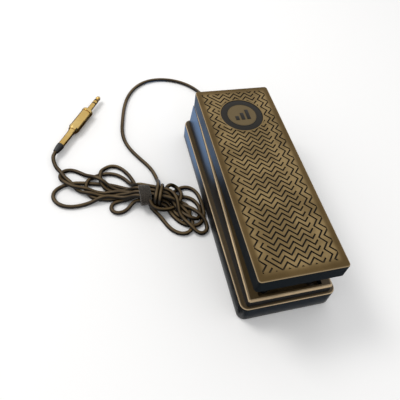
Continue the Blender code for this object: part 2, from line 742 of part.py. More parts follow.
# ---------------------------------------------------------------- treadle
def treadle_blank():
    toe = TREADLE_HEEL + TREADLE_LENGTH
    outline = round_rectangle(-TREADLE_HALF_WIDTH, TREADLE_HEEL, TREADLE_HALF_WIDTH, toe, TREADLE_CORNER)
    middle = TREADLE_TOP - SKIRT / 2
    cap = outline_plate("treadle", [outline], SKIRT, Matrix.Translation((0, 0, middle)))
    top = TREADLE_TOP - 0.1 * MM
    round_edges(cap, lambda e: min(v.co.z for v in e.verts) > top, TREADLE_EDGE)
    return cap


def hollow_treadle(cap, pivot):
    """Open the cap from below, leaving its roof, skirt and two cross ribs."""
    toe = TREADLE_HEEL + TREADLE_LENGTH
    half = TREADLE_HALF_WIDTH - WALL
    roof = TREADLE_TOP - WALL
    low = TREADLE_TOP - SKIRT
    rib = 2 * MM
    spans = [
        (TREADLE_HEEL + WALL, HEEL_RIB_Y - rib),
        (HEEL_RIB_Y + rib, TOE_RIB_Y - rib),
        (TOE_RIB_Y + rib, toe - WALL),
    ]
    for number, (start, end) in enumerate(spans, 1):
        cut = box(f"treadle_hollow_{number}", (-half, start, low - 1 * MM), (half, end, roof))
        combine(cap, as_cutter(cut, pivot))
    trim = box("toe_rib_trim", (-half, TOE_RIB_Y - 3 * MM, low - 1 * MM),
               (half, TOE_RIB_Y + 3 * MM, low + TOE_RIB_LIFT))
    combine(cap, as_cutter(trim, pivot))


def add_ears(cap, pivot):
    """Two hinge ears, and the block that carries the gear sector."""
    roof = TREADLE_TOP - WALL + 0.5 * MM
    outline = [(EAR_RADIUS, roof), (-EAR_RADIUS, roof)] + arc(0, 0, EAR_RADIUS, 180, 360, 12)
    width = EAR_X[1] - EAR_X[0]
    for side, sign in (("left", -1), ("right", 1)):
        middle = Matrix.Translation((sign * (EAR_X[0] + width / 2), 0, 0)) @ SIDE_ON
        combine(cap, as_cutter(outline_plate("ear_" + side, [outline], width, middle), pivot), "UNION")
    block = box("sector_block", (-SECTOR_X - GAP - 7 * MM, -10 * MM, 24 * MM),
                (-SECTOR_X - GAP, 10 * MM, roof))
    combine(cap, as_cutter(block, pivot), "UNION")
    bore = cylinder("ear_bore", SHAFT_BORE, (-30 * MM, 0, 0), 60 * MM, "X", 48)
    combine(cap, as_cutter(bore, pivot))
    for number, (y, z) in enumerate(tab_screw_places(), 1):
        hole = cylinder(f"block_hole_{number}", 1.5 * MM, (-8 * MM, y, z), 7 * MM, "X", 16)
        combine(cap, as_cutter(hole, pivot))


def make_treadle(pivot):
    cap = treadle_blank()
    hollow_treadle(cap, pivot)
    add_ears(cap, pivot)
    floor = TREADLE_TOP - 0.9 * MM
    recess = cylinder("badge_recess", BADGE_RADIUS + GAP, (0, BADGE_Y, floor), 3 * MM, sides=64)
    combine(cap, as_cutter(recess, pivot))
    place(cap, tread_plastic(), pivot)
    badge = [(0, 0.6 * MM), (BADGE_RADIUS - 0.2 * MM, 0.6 * MM), (BADGE_RADIUS, 0.4 * MM),
             (BADGE_RADIUS, 0), (0, 0)]
    disc = turned("badge_disc", badge, (0, BADGE_Y, TREADLE_TOP - 0.6 * MM), steps=64)
    place(disc, badge_plastic(), pivot)


def make_shaft(pivot):
    shaft = cylinder("pivot_shaft", SHAFT_RADIUS, (-SHAFT_HALF, 0, 0), 2 * SHAFT_HALF, "X", 48)
    place(shaft, bright_steel(), pivot)
    start = RAIL_HOLLOW_X[0] + 0.4 * MM
    for side, sign in (("left", -1), ("right", 1)):
        ring = [(SHAFT_BORE, 0.5 * MM), (4.9 * MM, 0.5 * MM), (4.9 * MM, -0.5 * MM), (SHAFT_BORE, -0.5 * MM)]
        clip = turned("retaining_clip_" + side, ring, (sign * (start + 0.5 * MM), 0, 0), "X", 48, closed=True)
        place(clip, bright_steel(), pivot)


# ---------------------------------------------------------------- lead, strap and plug
def make_strain_relief():
    wall = BASE_LENGTH / 2
    inner = wall - PLINTH_WALL
    profile = [(0, RELIEF_END - GAP), (3.1 * MM, RELIEF_END - GAP), (3.3 * MM, RELIEF_END - 4 * MM),
               (5 * MM, wall + 4 * MM), (5.6 * MM, wall + GAP), (4 * MM, wall + GAP),
               (4 * MM, inner - GAP), (0, inner - GAP)]
    shifted = [(r, h - inner) for r, h in profile]
    place(turned("strain_relief", shifted, (0, inner, EXIT_Z), "Y", 24), cord_rubber())


def make_lead():
    path = smooth_path([Vector(p) * MM for p in LEAD_ROUTE], 12 * MM)
    place(tube("lead_cord", path, CORD_RADIUS), cord_rubber())
    path = smooth_path([Vector(p) * MM for p in TAIL_ROUTE], 8 * MM)
    place(tube("tail_cord", path, CORD_RADIUS), cord_rubber())


def bundle_frame():
    """Matrix whose X runs along the tied bundle and whose Z is up, at floor level."""
    shift = Matrix.Translation((*STRAP_CENTRE, 0))
    return shift @ Matrix.Rotation(STRAP_ANGLE, 4, "Z")


def across_bundle(offset):
    """Place an outline drawn across the bundle, in width and height, at an offset along it."""
    return bundle_frame() @ Matrix.Translation((offset, 0, 0)) @ SIDE_ON


def make_hank():
    """Both lobes of the folded lead and the tied neck between them, as one solid."""
    lobes = []
    for name, outline in (("lead_hank", LEFT_LOBE), ("right_lobe", RIGHT_LOBE)):
        points = smooth_path([Vector((x, y, 0)) * MM for x, y in outline], 9 * MM, closed=True)
        lift = Matrix.Translation((0, 0, LOBE_HEIGHT / 2))
        lobes.append(outline_plate(name, [[(p.x, p.y) for p in points]], LOBE_HEIGHT, lift))
    hank, right = lobes
    combine(hank, as_cutter(right), "UNION")
    low = STRAP_SPAN[0] - 0.6 * MM
    high = WINDING_SPAN[1] + 0.6 * MM
    clear = box("strap_clearance", (low, -40 * MM, -1 * MM), (high, 40 * MM, 30 * MM))
    clear.matrix_world = bundle_frame()
    combine(hank, as_cutter(clear))
    half = BUNDLE_HALF_WIDTH
    section = round_rectangle(-half, BUNDLE_Z[0], half, BUNDLE_Z[1], 5.5 * MM, 4)
    neck = outline_plate("hank_neck", [section], high - low + 14 * MM, across_bundle((low + high) / 2))
    combine(hank, as_cutter(neck), "UNION")
    place(hank, cord_rubber())


def make_strap():
    """The hook-and-loop band, and the lead's own turns wound beside it, as rings round the neck."""
    rings = (
        ("strap_band", STRAP_SPAN, 2 * MM, strap_fabric()),
        ("lead_winding", WINDING_SPAN, 2 * CORD_RADIUS, cord_rubber()),
    )
    half = BUNDLE_HALF_WIDTH + GAP
    low, high = BUNDLE_Z[0] - GAP, BUNDLE_Z[1] + GAP
    for name, span, thickness, paint in rings:
        inner = round_rectangle(-half, low, half, high, 5.8 * MM, 4)
        outer = round_rectangle(-half - thickness, low - thickness, half + thickness, high + thickness,
                                5.8 * MM + thickness, 5)
        ring = outline_plate(name, [outer, inner], span[1] - span[0], across_bundle(sum(span) / 2))
        place(ring, paint)


def plug_piece(name, start, profile, paint, steps=24):
    """A turned piece on the plug's axis; its profile's heights are measured from start."""
    along = Vector((math.cos(PLUG_ANGLE), math.sin(PLUG_ANGLE), 0))
    piece = turned(name, profile, (0, 0, 0), "Z", steps)
    piece.location = Vector((*PLUG_START, PLUG_Z)) + along * start
    piece.rotation_euler = (0, math.pi / 2, PLUG_ANGLE)
    return place(piece, paint)


def disc_profile(radius, length, edge=0.2 * MM):
    return [(0, length), (radius - edge, length), (radius, length - edge), (radius, edge),
            (radius - edge, 0), (0, 0)]


def make_plug():
    """The jack plug in line: boot, tail, rim, barrel, collar, sleeve, ring, tip and insulators."""
    boot = [(0, 12 * MM), (4.4 * MM, 12 * MM), (4.4 * MM, 8 * MM), (3.4 * MM, 1 * MM), (3 * MM, 0), (0, 0)]
    tail = [(0, 27 * MM), (4.6 * MM, 27 * MM), (4.1 * MM, 22 * MM), (4.0 * MM, 0.4 * MM), (3.7 * MM, 0),
            (0, 0)]
    rim = [(0, 6 * MM), (7 * MM, 6 * MM), (7 * MM, 4.4 * MM), (6.2 * MM, 3.6 * MM), (5.6 * MM, 0), (0, 0)]
    barrel = [(0, 29 * MM), (6.2 * MM, 29 * MM), (6.8 * MM, 27.5 * MM), (6.8 * MM, 0.6 * MM),
              (6.4 * MM, 0), (0, 0)]
    collar = [(0, 5 * MM), (3.8 * MM, 5 * MM), (6.6 * MM, 4.2 * MM), (7.2 * MM, 3.4 * MM),
              (7.2 * MM, 0.6 * MM), (6.8 * MM, 0), (0, 0)]
    tip = [(0, 9 * MM), (0.9 * MM, 8.8 * MM), (2.2 * MM, 7.4 * MM), (3.1 * MM, 5 * MM), (3.1 * MM, 4.2 * MM),
           (2.1 * MM, 2.4 * MM), (3.1 * MM, 0.6 * MM), (3.1 * MM, 0), (0, 0)]
    shaft = 3.17 * MM
    ring = 3.0 * MM
    pieces = (
        ("plug_boot", 12 * MM, boot, black_rubber()),
        ("plug_tail", 27 * MM, tail, gold_metal()),
        ("plug_rim", 6 * MM, rim, gold_metal()),
        ("plug_barrel", 29 * MM, barrel, gold_metal()),
        ("plug_collar", 5 * MM, collar, gold_metal()),
        ("plug_sleeve", 14 * MM, disc_profile(shaft, 14 * MM), gold_metal()),
        ("plug_insulator_1", 1.2 * MM, disc_profile(ring, 1.2 * MM), insulator_black()),
        ("plug_ring", 4.2 * MM, disc_profile(shaft, 4.2 * MM), gold_metal()),
        ("plug_insulator_2", 1.2 * MM, disc_profile(ring, 1.2 * MM), insulator_black()),
        ("plug_tip", 9 * MM, tip, gold_metal()),
    )
    start = 0.0
    for name, length, profile, paint in pieces:
        plug_piece(name, start, profile, paint)
        start += length + GAP


# ---------------------------------------------------------------- assembly
def build():
    make_base()
    make_bottom_plate()
    make_feet()
    make_plate_screws()
    make_bearings()
    make_bumpers()
    pivot = pivot_empty("treadle_pivot", PIVOT_Y, PIVOT_Z, tilt=REST_TILT)
    make_treadle(pivot)
    make_shaft(pivot)
    make_sector(pivot)
    pot_axis = pivot_empty("pot_axis", *pinion_centre())
    make_pinion(pot_axis)
    make_pot()
    make_bracket()
    make_board()
    make_range_control()
    make_polarity_switch()
    make_strain_relief()
    make_lead()
    make_hank()
    make_strap()
    make_plug()


build()
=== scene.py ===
"""Volume pedal: finishes, tread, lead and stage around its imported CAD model. Metres, +Z up."""

import json
import math

import bmesh
import bpy
import numpy as np
from mathutils import Matrix, Vector


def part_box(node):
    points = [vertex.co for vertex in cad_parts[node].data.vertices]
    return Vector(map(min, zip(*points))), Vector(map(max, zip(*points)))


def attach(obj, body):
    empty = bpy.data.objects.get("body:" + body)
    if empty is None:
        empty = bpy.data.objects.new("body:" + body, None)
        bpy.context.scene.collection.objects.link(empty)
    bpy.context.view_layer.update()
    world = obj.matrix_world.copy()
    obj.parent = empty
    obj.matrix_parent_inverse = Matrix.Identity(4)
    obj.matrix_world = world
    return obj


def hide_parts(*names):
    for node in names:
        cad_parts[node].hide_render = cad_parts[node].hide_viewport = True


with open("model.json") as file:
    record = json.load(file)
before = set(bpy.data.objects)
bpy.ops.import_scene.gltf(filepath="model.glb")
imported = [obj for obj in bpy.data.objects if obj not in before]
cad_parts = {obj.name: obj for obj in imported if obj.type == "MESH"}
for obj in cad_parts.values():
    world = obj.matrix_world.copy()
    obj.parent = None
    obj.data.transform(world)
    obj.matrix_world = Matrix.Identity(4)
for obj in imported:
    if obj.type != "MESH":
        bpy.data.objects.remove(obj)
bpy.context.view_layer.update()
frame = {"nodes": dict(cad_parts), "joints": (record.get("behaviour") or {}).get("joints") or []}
MM = 0.001


def scene_object(name, data):
    """A new scene object that shows the given mesh, curve, lamp or camera."""
    made = bpy.data.objects.new(name, data)
    bpy.context.scene.collection.objects.link(made)
    return made


def evaluated_mesh(thing):
    """A new mesh of the object as it shows, with its modifiers or its curve's thickness applied."""
    bpy.context.view_layer.update()
    return bpy.data.meshes.new_from_object(
        thing.evaluated_get(bpy.context.evaluated_depsgraph_get()))


# ---------------------------------------------------------------- camera
CAMERA_PLACE = (-0.1673, -0.2790, 0.4301)
CAMERA_TURN = (40.15, -6.58, -14.24)    # degrees
CAMERA_SHIFT = (-0.025, -0.075)
LENS = 40.8                         # millimetres, as the sensor is
SENSOR_WIDTH = 36


def make_camera():
    data = bpy.data.cameras.new("camera")
    data.sensor_width = SENSOR_WIDTH
    data.lens = LENS
    data.shift_x, data.shift_y = CAMERA_SHIFT
    camera = scene_object("camera", data)
    camera.location = CAMERA_PLACE
    camera.rotation_euler = [math.radians(angle) for angle in CAMERA_TURN]
    bpy.context.scene.camera = camera


make_camera()


# ---------------------------------------------------------------- lead
# The route and every length below are in millimetres; lead_curve turns them into metres.
CORD_RADIUS = 2.3
CORD_STEP = 4.0                     # between neighbouring points of the path
BUNDLE_X = -108.5
BUNDLE_Y = 28.0
BUNDLE_ANGLE = math.radians(-22)
NECK_LEFT = -16.0                   # ends of the tied neck, along the bundle
NECK_RIGHT = 17.0
NECK_STEPS = 7
WIND_START = 5.2                    # where the turns begin, along the bundle
WIND_PITCH = 4.65
WIND_HALF = (13.8, 9.6)             # across and up, to the middle of the lead
WIND_MIDDLE = 11.9
WIND_ROUNDNESS = 0.8                # 1 is an ellipse, less is squarer

# How the free runs come to lie.
CORD_GAP = 0.15                     # kept between two runs
SETTLE_ROUNDS = 320
SEARCH_EVERY = 8                    # rounds between searches for runs that are near each other
SEARCH_REACH = 1.6                  # in clear widths
OWN_LENGTH = 3.2                    # stretch of lead that doesn't push itself, in clear widths
LATER_HIGHER = 0.001                # of two runs at one height, the later one lies on top
SIDEWAYS = 1.05                     # shares of a push that go sideways and upwards
UPWARDS = 0.25
LEAST_RISE = 0.6
DEEPEST_PUSH = 0.8
PUSH_SHARE = 0.4
LONGEST_MOVE = 0.6
PULL_HOME = 0.01                    # share of the way back to the route in each round
SINK = 0.05
FLOOR_GAP = 0.05
BASE_SIDE_X = -50.0
BASE_GAP = 0.3
BASE_FLANK = (-30.0, 128.0, 26.0)   # the runs left of this x, within this y and below this z pass the base
TIGHTEST_BEND = 9.0                 # bends of a smaller radius are eased
EASE_ROUNDS = 20
EASE_SHARE = 0.6


def tied(along, across, up):
    """A point given in the bundle's frame: along it, across it towards the toe, and up."""
    c, s = math.cos(BUNDLE_ANGLE), math.sin(BUNDLE_ANGLE)
    return (BUNDLE_X + along * c - across * s, BUNDLE_Y + along * s + across * c, up)


def free(*points):
    """Points of the lead that may move when another run lies beside or under them."""
    return [(*p, 0) for p in points]


def held(*points):
    """Points that stay where they are: in the strap, the winding, the strain relief or the plug."""
    return [(*p, 1) for p in points]


def through(across, up, start, end):
    """A straight run through the tied neck."""
    return held(*(tied(start + (end - start) * i / NECK_STEPS, across, up) for i in range(NECK_STEPS + 1)))


def leftward(across, up, start=NECK_RIGHT):
    return through(across, up, start, NECK_LEFT)


def rightward(across, up, end=NECK_RIGHT):
    return through(across, up, NECK_LEFT, end)


def winding(first, last, steps=16):
    """Turns round the neck on a rounded section; angles in degrees, 0 at the toe side and 90 on top."""
    points = []
    count = round((last - first) / 360 * steps)
    for i in range(count + 1):
        angle = math.radians(first + (last - first) * i / count)
        c, s = math.cos(angle), math.sin(angle)
        across = WIND_HALF[0] * math.copysign(abs(c) ** WIND_ROUNDNESS, c)
        up = WIND_MIDDLE + WIND_HALF[1] * math.copysign(abs(s) ** WIND_ROUNDNESS, s)
        along = WIND_START + WIND_PITCH * (last - first) * i / count / 360
        points.append(tied(along, across, up))
    return held(*points)


def lead_route():
    """The whole lead from the strain relief to the plug, run by run."""
    route = held((0, 156, 13), (0, 164, 12.4))
    route += free(
        (-0.5, 174, 9.6), (-2.5, 186, 5.6), (-8, 202, 2.8), (-19, 219, 2.4), (-37, 233, 2.4),
        (-61, 240, 2.4), (-85, 236, 2.4), (-104, 220, 2.4), (-117, 195, 2.4), (-124, 166, 2.4),
        (-128, 138, 2.4), (-125, 117, 2.4), (-115, 96, 2.4), (-104.5, 79, 2.4), (-99, 65, 3.6),
        (-98, 54, 8))
    route += held(tied(3.4, 19, 14), tied(4.2, 14.6, 17.6)) + winding(50, 725)
    route += held(tied(15.2, 16, 14.5))
    route += free((-86.5, 41.5, 12), (-78.5, 40, 9), (-73.5, 33, 6.5), (-74, 24, 6.5), (-79.5, 15.5, 8),
                  (-87.5, 9.5, 10), (-96.5, 7.5, 11.5))
    route += held(tied(10.5, -18.3, 12.5), tied(5, -18.2, 13.5), tied(2.2, -15.5, 14.6),
                  tied(1, -11.8, 15.8))
    # First left loop, then the right loop beside it.
    route += leftward(-7.95, 16.4, -2)
    route += free((-137, 33, 13), (-150, 37, 10), (-164, 37.5, 7), (-176, 35, 4.5), (-188, 32.3, 2.6),
                  (-200, 32.5, 2.4), (-211, 37.5, 2.4), (-217, 47.5, 2.4), (-215, 57.5, 2.4),
                  (-206, 63, 2.4), (-195, 65, 2.4), (-182, 63.5, 2.4), (-168, 60, 2.4), (-154, 54.5, 2.6),
                  (-141, 48.5, 5), (-130, 43, 9))
    route += rightward(5.3, 11.9)
    route += free((-82, 27, 8), (-74, 27, 5), (-66, 24, 3.5), (-59, 17, 2.8), (-55.5, 7, 2.6),
                  (-56, -3, 3.4), (-62, -9.5, 4.5), (-70, -7, 5), (-77.5, 1, 6), (-84, 10.5, 10))
    # The long upper left loop, and the right loop that reaches nearest the heel.
    route += leftward(2.65, 16.4)
    route += free((-135, 42, 13), (-148, 49, 9.5), (-160, 58, 8), (-173, 68.5, 7), (-185, 79.5, 4),
                  (-194.5, 86.5, 2.6), (-204, 87.5, 2.4), (-209, 80, 2.4), (-205.5, 70.5, 3),
                  (-196, 61.5, 6), (-183, 54.5, 7),
                  (-169, 47.5, 7), (-154, 42, 7.5), (-138, 38, 9))
    route += rightward(0, 11.9)
    route += free((-84, 16.5, 9), (-75, 13.5, 6.5), (-66, 6.5, 5), (-59, -4.5, 4), (-54.5, -15, 2.8),
                  (-54, -24, 2.4), (-60, -30.5, 2.4), (-68, -26, 3), (-72, -17, 4.5), (-78, -6, 6),
                  (-83, 5, 9), (-84.5, 17, 13))
    # The inner left loop, and the small right loop.
    route += leftward(7.95, 16.4)
    route += free((-128, 53, 9), (-135.5, 63, 5), (-144.5, 71, 3), (-155, 74.5, 2.6), (-166, 73, 2.4),
                  (-175, 67, 2.4), (-180, 57.5, 2.4), (-179.5, 47.5, 2.4), (-172.5, 40.5, 2.6),
                  (-161, 38, 3), (-148, 38.5, 4), (-135, 38.5, 5.5))
    route += rightward(2.65, 7.4)
    route += free((-83, 21, 5), (-75, 17, 4), (-69, 9, 3.5), (-68.5, -0.5, 3.5), (-75, -6, 4),
                  (-83, -1, 4.5), (-88.5, 8, 6))
    # The outer left loop, and the right loop along the base.
    route += leftward(-2.65, 7.4)
    route += free((-138, 38, 5), (-151, 44, 3), (-158.5, 52, 2.4), (-162, 62, 2.4), (-161.5, 73, 2.4),
                  (-157, 82, 2.4), (-148.5, 86, 2.4), (-139, 81.5, 2.4), (-131, 70.5, 3),
                  (-126, 58.5, 4.5), (-122.5, 49, 6))
    route += rightward(7.95, 7.4)
    route += free((-83, 36, 5.5), (-75, 39.5, 4), (-64.5, 39.5, 2.8), (-56.5, 34.5, 2.4), (-53.4, 25, 2.4),
                  (-53, 12, 2.4), (-53, 0, 2.4), (-56.5, -11.5, 3), (-65, -17, 3), (-75, -14, 3.5),
                  (-84, -6, 4), (-91, 4.5, 5.5))
    # The small loop beside the strap, and the right loop that leaves beside the winding.
    route += leftward(-7.95, 7.4)
    route += free((-132, 20.5, 5), (-139, 15.5, 3), (-147, 13.8, 2.4), (-154.5, 17, 2.4),
                  (-157.5, 24.5, 2.4), (-153.5, 31.8, 2.8), (-145, 34.5, 4), (-133, 33.5, 8))
    route += rightward(-5.3, 11.9, -3)
    route += held(tied(-0.6, -8.5, 11.9), tied(1.2, -13, 10.5), tied(4, -17.4, 8), tied(9, -18.6, 5.5))
    route += free((-102, 0, 3), (-97.5, -10.5, 2.4), (-90.5, -20, 2.4), (-82, -25, 2.4), (-73.5, -23, 2.6),
                  (-68.5, -15.5, 3.2), (-69.5, -6, 4.5), (-76, 3, 6), (-82.5, 13, 10))
    # The tail that ends in the plug.
    route += leftward(-2.65, 16.4)
    route += free((-137, 36, 11.5), (-152, 39.5, 6), (-169, 42.5, 3), (-184, 48.5, 2.6), (-195, 60, 2.4),
                  (-203, 73.5, 2.4), (-208.5, 85, 2.5), (-211.5, 92, 2.8))
    route += held((-213.4, 98, 4.0), (-214.4, 104, 6.0), (-213.6, 108.8, 7.2), (-211, 113, 7.4),
                  (-209.4, 115.5, 7.4))
    return route


def smooth_path(points):
    """Points about one step apart on a Catmull-Rom curve; the fourth value marks held points."""
    knots = [np.array(p, float) for p in points]
    path = []
    for i in range(len(knots) - 1):
        a, b, c, d = (knots[min(max(i + k - 1, 0), len(knots) - 1)] for k in range(4))
        pieces = max(1, round(float(np.linalg.norm((c - b)[:3])) / CORD_STEP))
        for k in range(pieces):
            t = k / pieces
            point = 0.5 * (2 * b + (c - a) * t + (2 * a - 5 * b + 4 * c - d) * t ** 2
                           + (3 * b - a - 3 * c + d) * t ** 3)
            point[3] = min(b[3], c[3]) if k else b[3]
            path.append(point)
    path.append(knots[-1])
    return np.array(path)


def settle(path):
    """Lay the free runs on the floor; runs that cross part upwards, and side by side ones sideways."""
    clear = 2 * CORD_RADIUS + CORD_GAP
    index = np.arange(len(path))
    pinned = path[:, 3] > 0.5
    rest = path[:, :3].copy()
    now = rest.copy()
    order = rest[:, 2] + LATER_HIGHER * index
    distant = np.abs(index[:, None] - index[None]) * CORD_STEP > OWN_LENGTH * clear
    flank_x, flank_y, flank_z = BASE_FLANK
    for turn in range(SETTLE_ROUNDS):
        if turn % SEARCH_EVERY == 0:
            apart = np.linalg.norm(now[:, None] - now[None], axis=2)
            low, high = np.nonzero((apart < SEARCH_REACH * clear) & distant & (order[:, None] < order[None]))
            along = np.gradient(now, axis=0)
            along /= np.linalg.norm(along, axis=1)[:, None]
            crossing = np.linalg.norm(np.cross(along[low], along[high]), axis=1)
        gap = now[high] - now[low]
        width = np.linalg.norm(gap, axis=1)
        push = gap * (SIDEWAYS - crossing)[:, None]
        push[:, 2] = np.maximum(gap[:, 2], LEAST_RISE) * (UPWARDS + crossing)
        push /= np.linalg.norm(push, axis=1)[:, None]
        push *= np.clip(clear - width, 0, DEEPEST_PUSH)[:, None] * PUSH_SHARE
        shift = np.zeros_like(now)
        np.add.at(shift, high, push)
        np.add.at(shift, low, -push)
        now += np.clip(shift, -LONGEST_MOVE, LONGEST_MOVE)
        # A five-point smoothing, which evens the path and hardly shortens it.
        eased = now.copy()
        eased[2:-2] = (-now[:-4] + 4 * now[1:-3] + 10 * now[2:-2] + 4 * now[3:-1] - now[4:]) / 16
        now = eased
        now[:, :2] += (rest[:, :2] - now[:, :2]) * PULL_HOME
        now[:, 2] -= SINK
        now[:, 2] = np.maximum(now[:, 2], CORD_RADIUS + FLOOR_GAP)
        beside = (np.abs(now[:, 1]) < flank_y) & (now[:, 2] < flank_z) & (now[:, 0] < flank_x)
        now[:, 0] = np.where(beside, np.minimum(now[:, 0], BASE_SIDE_X - CORD_RADIUS - BASE_GAP), now[:, 0])
        now[pinned] = rest[pinned]
    return now


def even(path):
    """The same route with its points one step apart."""
    along = np.concatenate([[0], np.cumsum(np.linalg.norm(np.diff(path, axis=0), axis=1))])
    marks = np.linspace(0, along[-1], round(along[-1] / CORD_STEP) + 1)
    return np.stack([np.interp(marks, along, path[:, k]) for k in range(3)], axis=1)


def unbend(path):
    """Ease every bend that is tighter than the lead should have, but for the two ends."""
    now = even(path)
    most = CORD_STEP ** 2 / (2 * TIGHTEST_BEND)
    for _ in range(EASE_ROUNDS):
        sag = (now[:-2] + now[2:]) / 2 - now[1:-1]
        size = np.linalg.norm(sag, axis=1)
        ease = np.clip(size - most, 0, None) / np.maximum(size, 1e-6) * EASE_SHARE
        ease[:2] = ease[-5:] = 0
        now[1:-1] += sag * ease[:, None]
    return now


def lead_curve():
    """The lead's tube and its path, both in metres."""
    path = unbend(even(settle(smooth_path(lead_route())))) * MM
    curve = bpy.data.curves.new("lead", "CURVE")
    curve.dimensions = "3D"
    curve.bevel_depth = CORD_RADIUS * MM
    curve.bevel_resolution = 4
    curve.use_fill_caps = True
    spline = curve.splines.new("NURBS")
    spline.points.add(len(path) - 1)
    for point, place in zip(spline.points, path):
        point.co = (*place, 1)
    spline.order_u = 4
    spline.use_endpoint_u = True
    spline.resolution_u = 2
    drawn = scene_object("drawn", curve)
    tube = evaluated_mesh(drawn)
    bpy.data.objects.remove(drawn, do_unlink=True)
    tube.name = "lead"
    tube.shade_smooth()
    return scene_object("lead", tube), path


lead, lead_path = lead_curve()
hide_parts("lead_cord", "tail_cord", "lead_hank", "lead_winding")
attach(lead, "base")


# ---------------------------------------------------------------- tread
# In the treadle's own frame: x across, y towards the toe and z up, from the middle of the pivot.
PIVOT = Vector(frame["joints"][0]["pos_m"])
REST_TILT = math.radians(1.0)
TREADLE_TOP = 44.4 * MM
TREADLE = Matrix.Translation(PIVOT) @ Matrix.Rotation(REST_TILT, 4, "X")
ROWS = range(-2, 39)
ROW_STEP = 6.3 * MM
ROW_START = -96.2 * MM
ROW_END = 23.8 * MM                 # where a row's last arm stops, across
ZIG = 6.5 * MM                      # one arm of the zigzag, across and along
LONG_ARM = 12.6 * MM
TURN_BACK = 3.8 * MM
FIELD_LOW = (-38.5 * MM, -96.5 * MM)
FIELD_HIGH = (37.5 * MM, 133 * MM)
MARGINS = [(-38.9 * MM, -32.9 * MM, -120.7 * MM), (25.9 * MM, 31.5 * MM, -121.2 * MM),
           (31.9 * MM, 38 * MM, -119.8 * MM)]
MARGIN_TURNS = 44
GROOVE_HALF = 0.8 * MM
GROOVE_DEPTH = 0.9 * MM
GROOVE_SLOPE = 0.28 * MM
GROOVE_CORNERS = ((-1, -1), (1, -1), (1, 1), (-1, 1))   # side, and below or above the treadle's top
BLOCK_HEIGHT = 10 * MM
BADGE_Y = 95.5 * MM
BADGE_CLEAR = 25.6 * MM             # radius round the badge that stays plain
TOP_MIDDLE_Y = 18 * MM
TOP_HALF = (40 * MM, 118 * MM)      # the flat part of the top, inside its rounded edge
WELD = 0.01 * MM


def mesh_piece(name, form, sharp=30):
    """A scene object from a bmesh, with its place in its mesh; edges above the angle stay sharp."""
    mesh = bpy.data.meshes.new(name)
    form.to_mesh(mesh)
    form.free()
    made = scene_object(name, mesh)
    mesh.shade_smooth()
    mesh.set_sharp_from_angle(angle=math.radians(sharp))
    return made


def joined(form, part):
    """Add one bmesh to another."""
    mesh = bpy.data.meshes.new("part")
    part.to_mesh(mesh)
    part.free()
    form.from_mesh(mesh)
    bpy.data.meshes.remove(mesh)


def baked(thing):
    """The object's mesh with its modifiers applied, as a new bmesh; the object is removed."""
    mesh = evaluated_mesh(thing)
    form = bmesh.new()
    form.from_mesh(mesh)
    bpy.data.meshes.remove(mesh)
    bpy.data.objects.remove(thing, do_unlink=True)
    return form


def copy_of(node, name):
    """A merged copy of a CAD node's mesh, ready to be shaped."""
    form = bmesh.new()
    form.from_mesh(frame["nodes"][node].data)
    bmesh.ops.remove_doubles(form, verts=form.verts, dist=WELD / 2)
    bmesh.ops.dissolve_limit(form, angle_limit=math.radians(0.5), verts=form.verts, edges=form.edges)
    return mesh_piece(name, form)


def add_boolean(thing, operation, shape):
    step = thing.modifiers.new(operation, "BOOLEAN")
    step.operation = operation
    step.object = shape
    step.solver = "EXACT"


def groove(form, line):
    """One zigzag channel's cutter: a section with sloping sides pushed along its line, mitred at its turns."""
    strip = bmesh.new()
    line = [Vector(p) for p in line]
    steps = [(stop - start).normalized() for start, stop in zip(line, line[1:])]
    ends = []
    for i, point in enumerate(line):
        before, after = steps[max(i - 1, 0)], steps[min(i, len(steps) - 1)]
        way = (before + after).normalized()
        across = Vector((-way.y, way.x)) / way.dot(before)
        section = []
        for side, height in GROOVE_CORNERS:
            spot = point + across * side * (GROOVE_HALF + height * GROOVE_SLOPE)
            section.append(Vector((*spot, TREADLE_TOP + height * GROOVE_DEPTH)))
        if not ends:
            ends.append(strip.faces.new([strip.verts.new(spot) for spot in section]))
            last = section
            continue
        made = bmesh.ops.extrude_face_region(strip, geom=ends[-1:])["geom"]
        ends += [part for part in made if isinstance(part, bmesh.types.BMFace)]
        for vert in ends[-1].verts:
            corner = min(range(4), key=lambda k: (last[k] - vert.co).length)
            vert.co = section[corner]
        last = section
    bmesh.ops.delete(strip, geom=ends[1:-1], context="FACES_ONLY")
    bmesh.ops.recalc_face_normals(strip, faces=strip.faces)
    if strip.calc_volume(signed=True) < 0:
        bmesh.ops.reverse_faces(strip, faces=strip.faces)
    joined(form, strip)


def centre_row(low, long_arm):
    """A row's zigzag; every second row's toe-left arm runs on and turns back."""
    points = [(-3 * ZIG, low), (-2 * ZIG, low + ZIG), (-ZIG, low), (0, low + ZIG), (ZIG, low),
              (2 * ZIG, low + ZIG), (3 * ZIG, low), (ROW_END, low + ROW_END - 3 * ZIG)]
    if long_arm:
        arm = [(-3 * ZIG - LONG_ARM + TURN_BACK, low + LONG_ARM + TURN_BACK),
               (-3 * ZIG - LONG_ARM, low + LONG_ARM)]
    else:
        arm = [(-4 * ZIG, low + ZIG)]
    return arm + points


def margin_line(left, right, first):
    """A zigzag along the edge of the field, between two distances from the middle."""
    return [(right if i % 2 else left, first + i * ROW_STEP) for i in range(MARGIN_TURNS)]


def field_block():
    """What the channels are kept inside."""
    form = bmesh.new()
    size = [FIELD_HIGH[i] - FIELD_LOW[i] for i in range(2)]
    middle = [(FIELD_HIGH[i] + FIELD_LOW[i]) / 2 for i in range(2)]
    bmesh.ops.create_cube(form, size=1, matrix=Matrix.Translation((*middle, TREADLE_TOP))
                          @ Matrix.Diagonal((*size, BLOCK_HEIGHT, 1)))
    return mesh_piece("field_block", form)


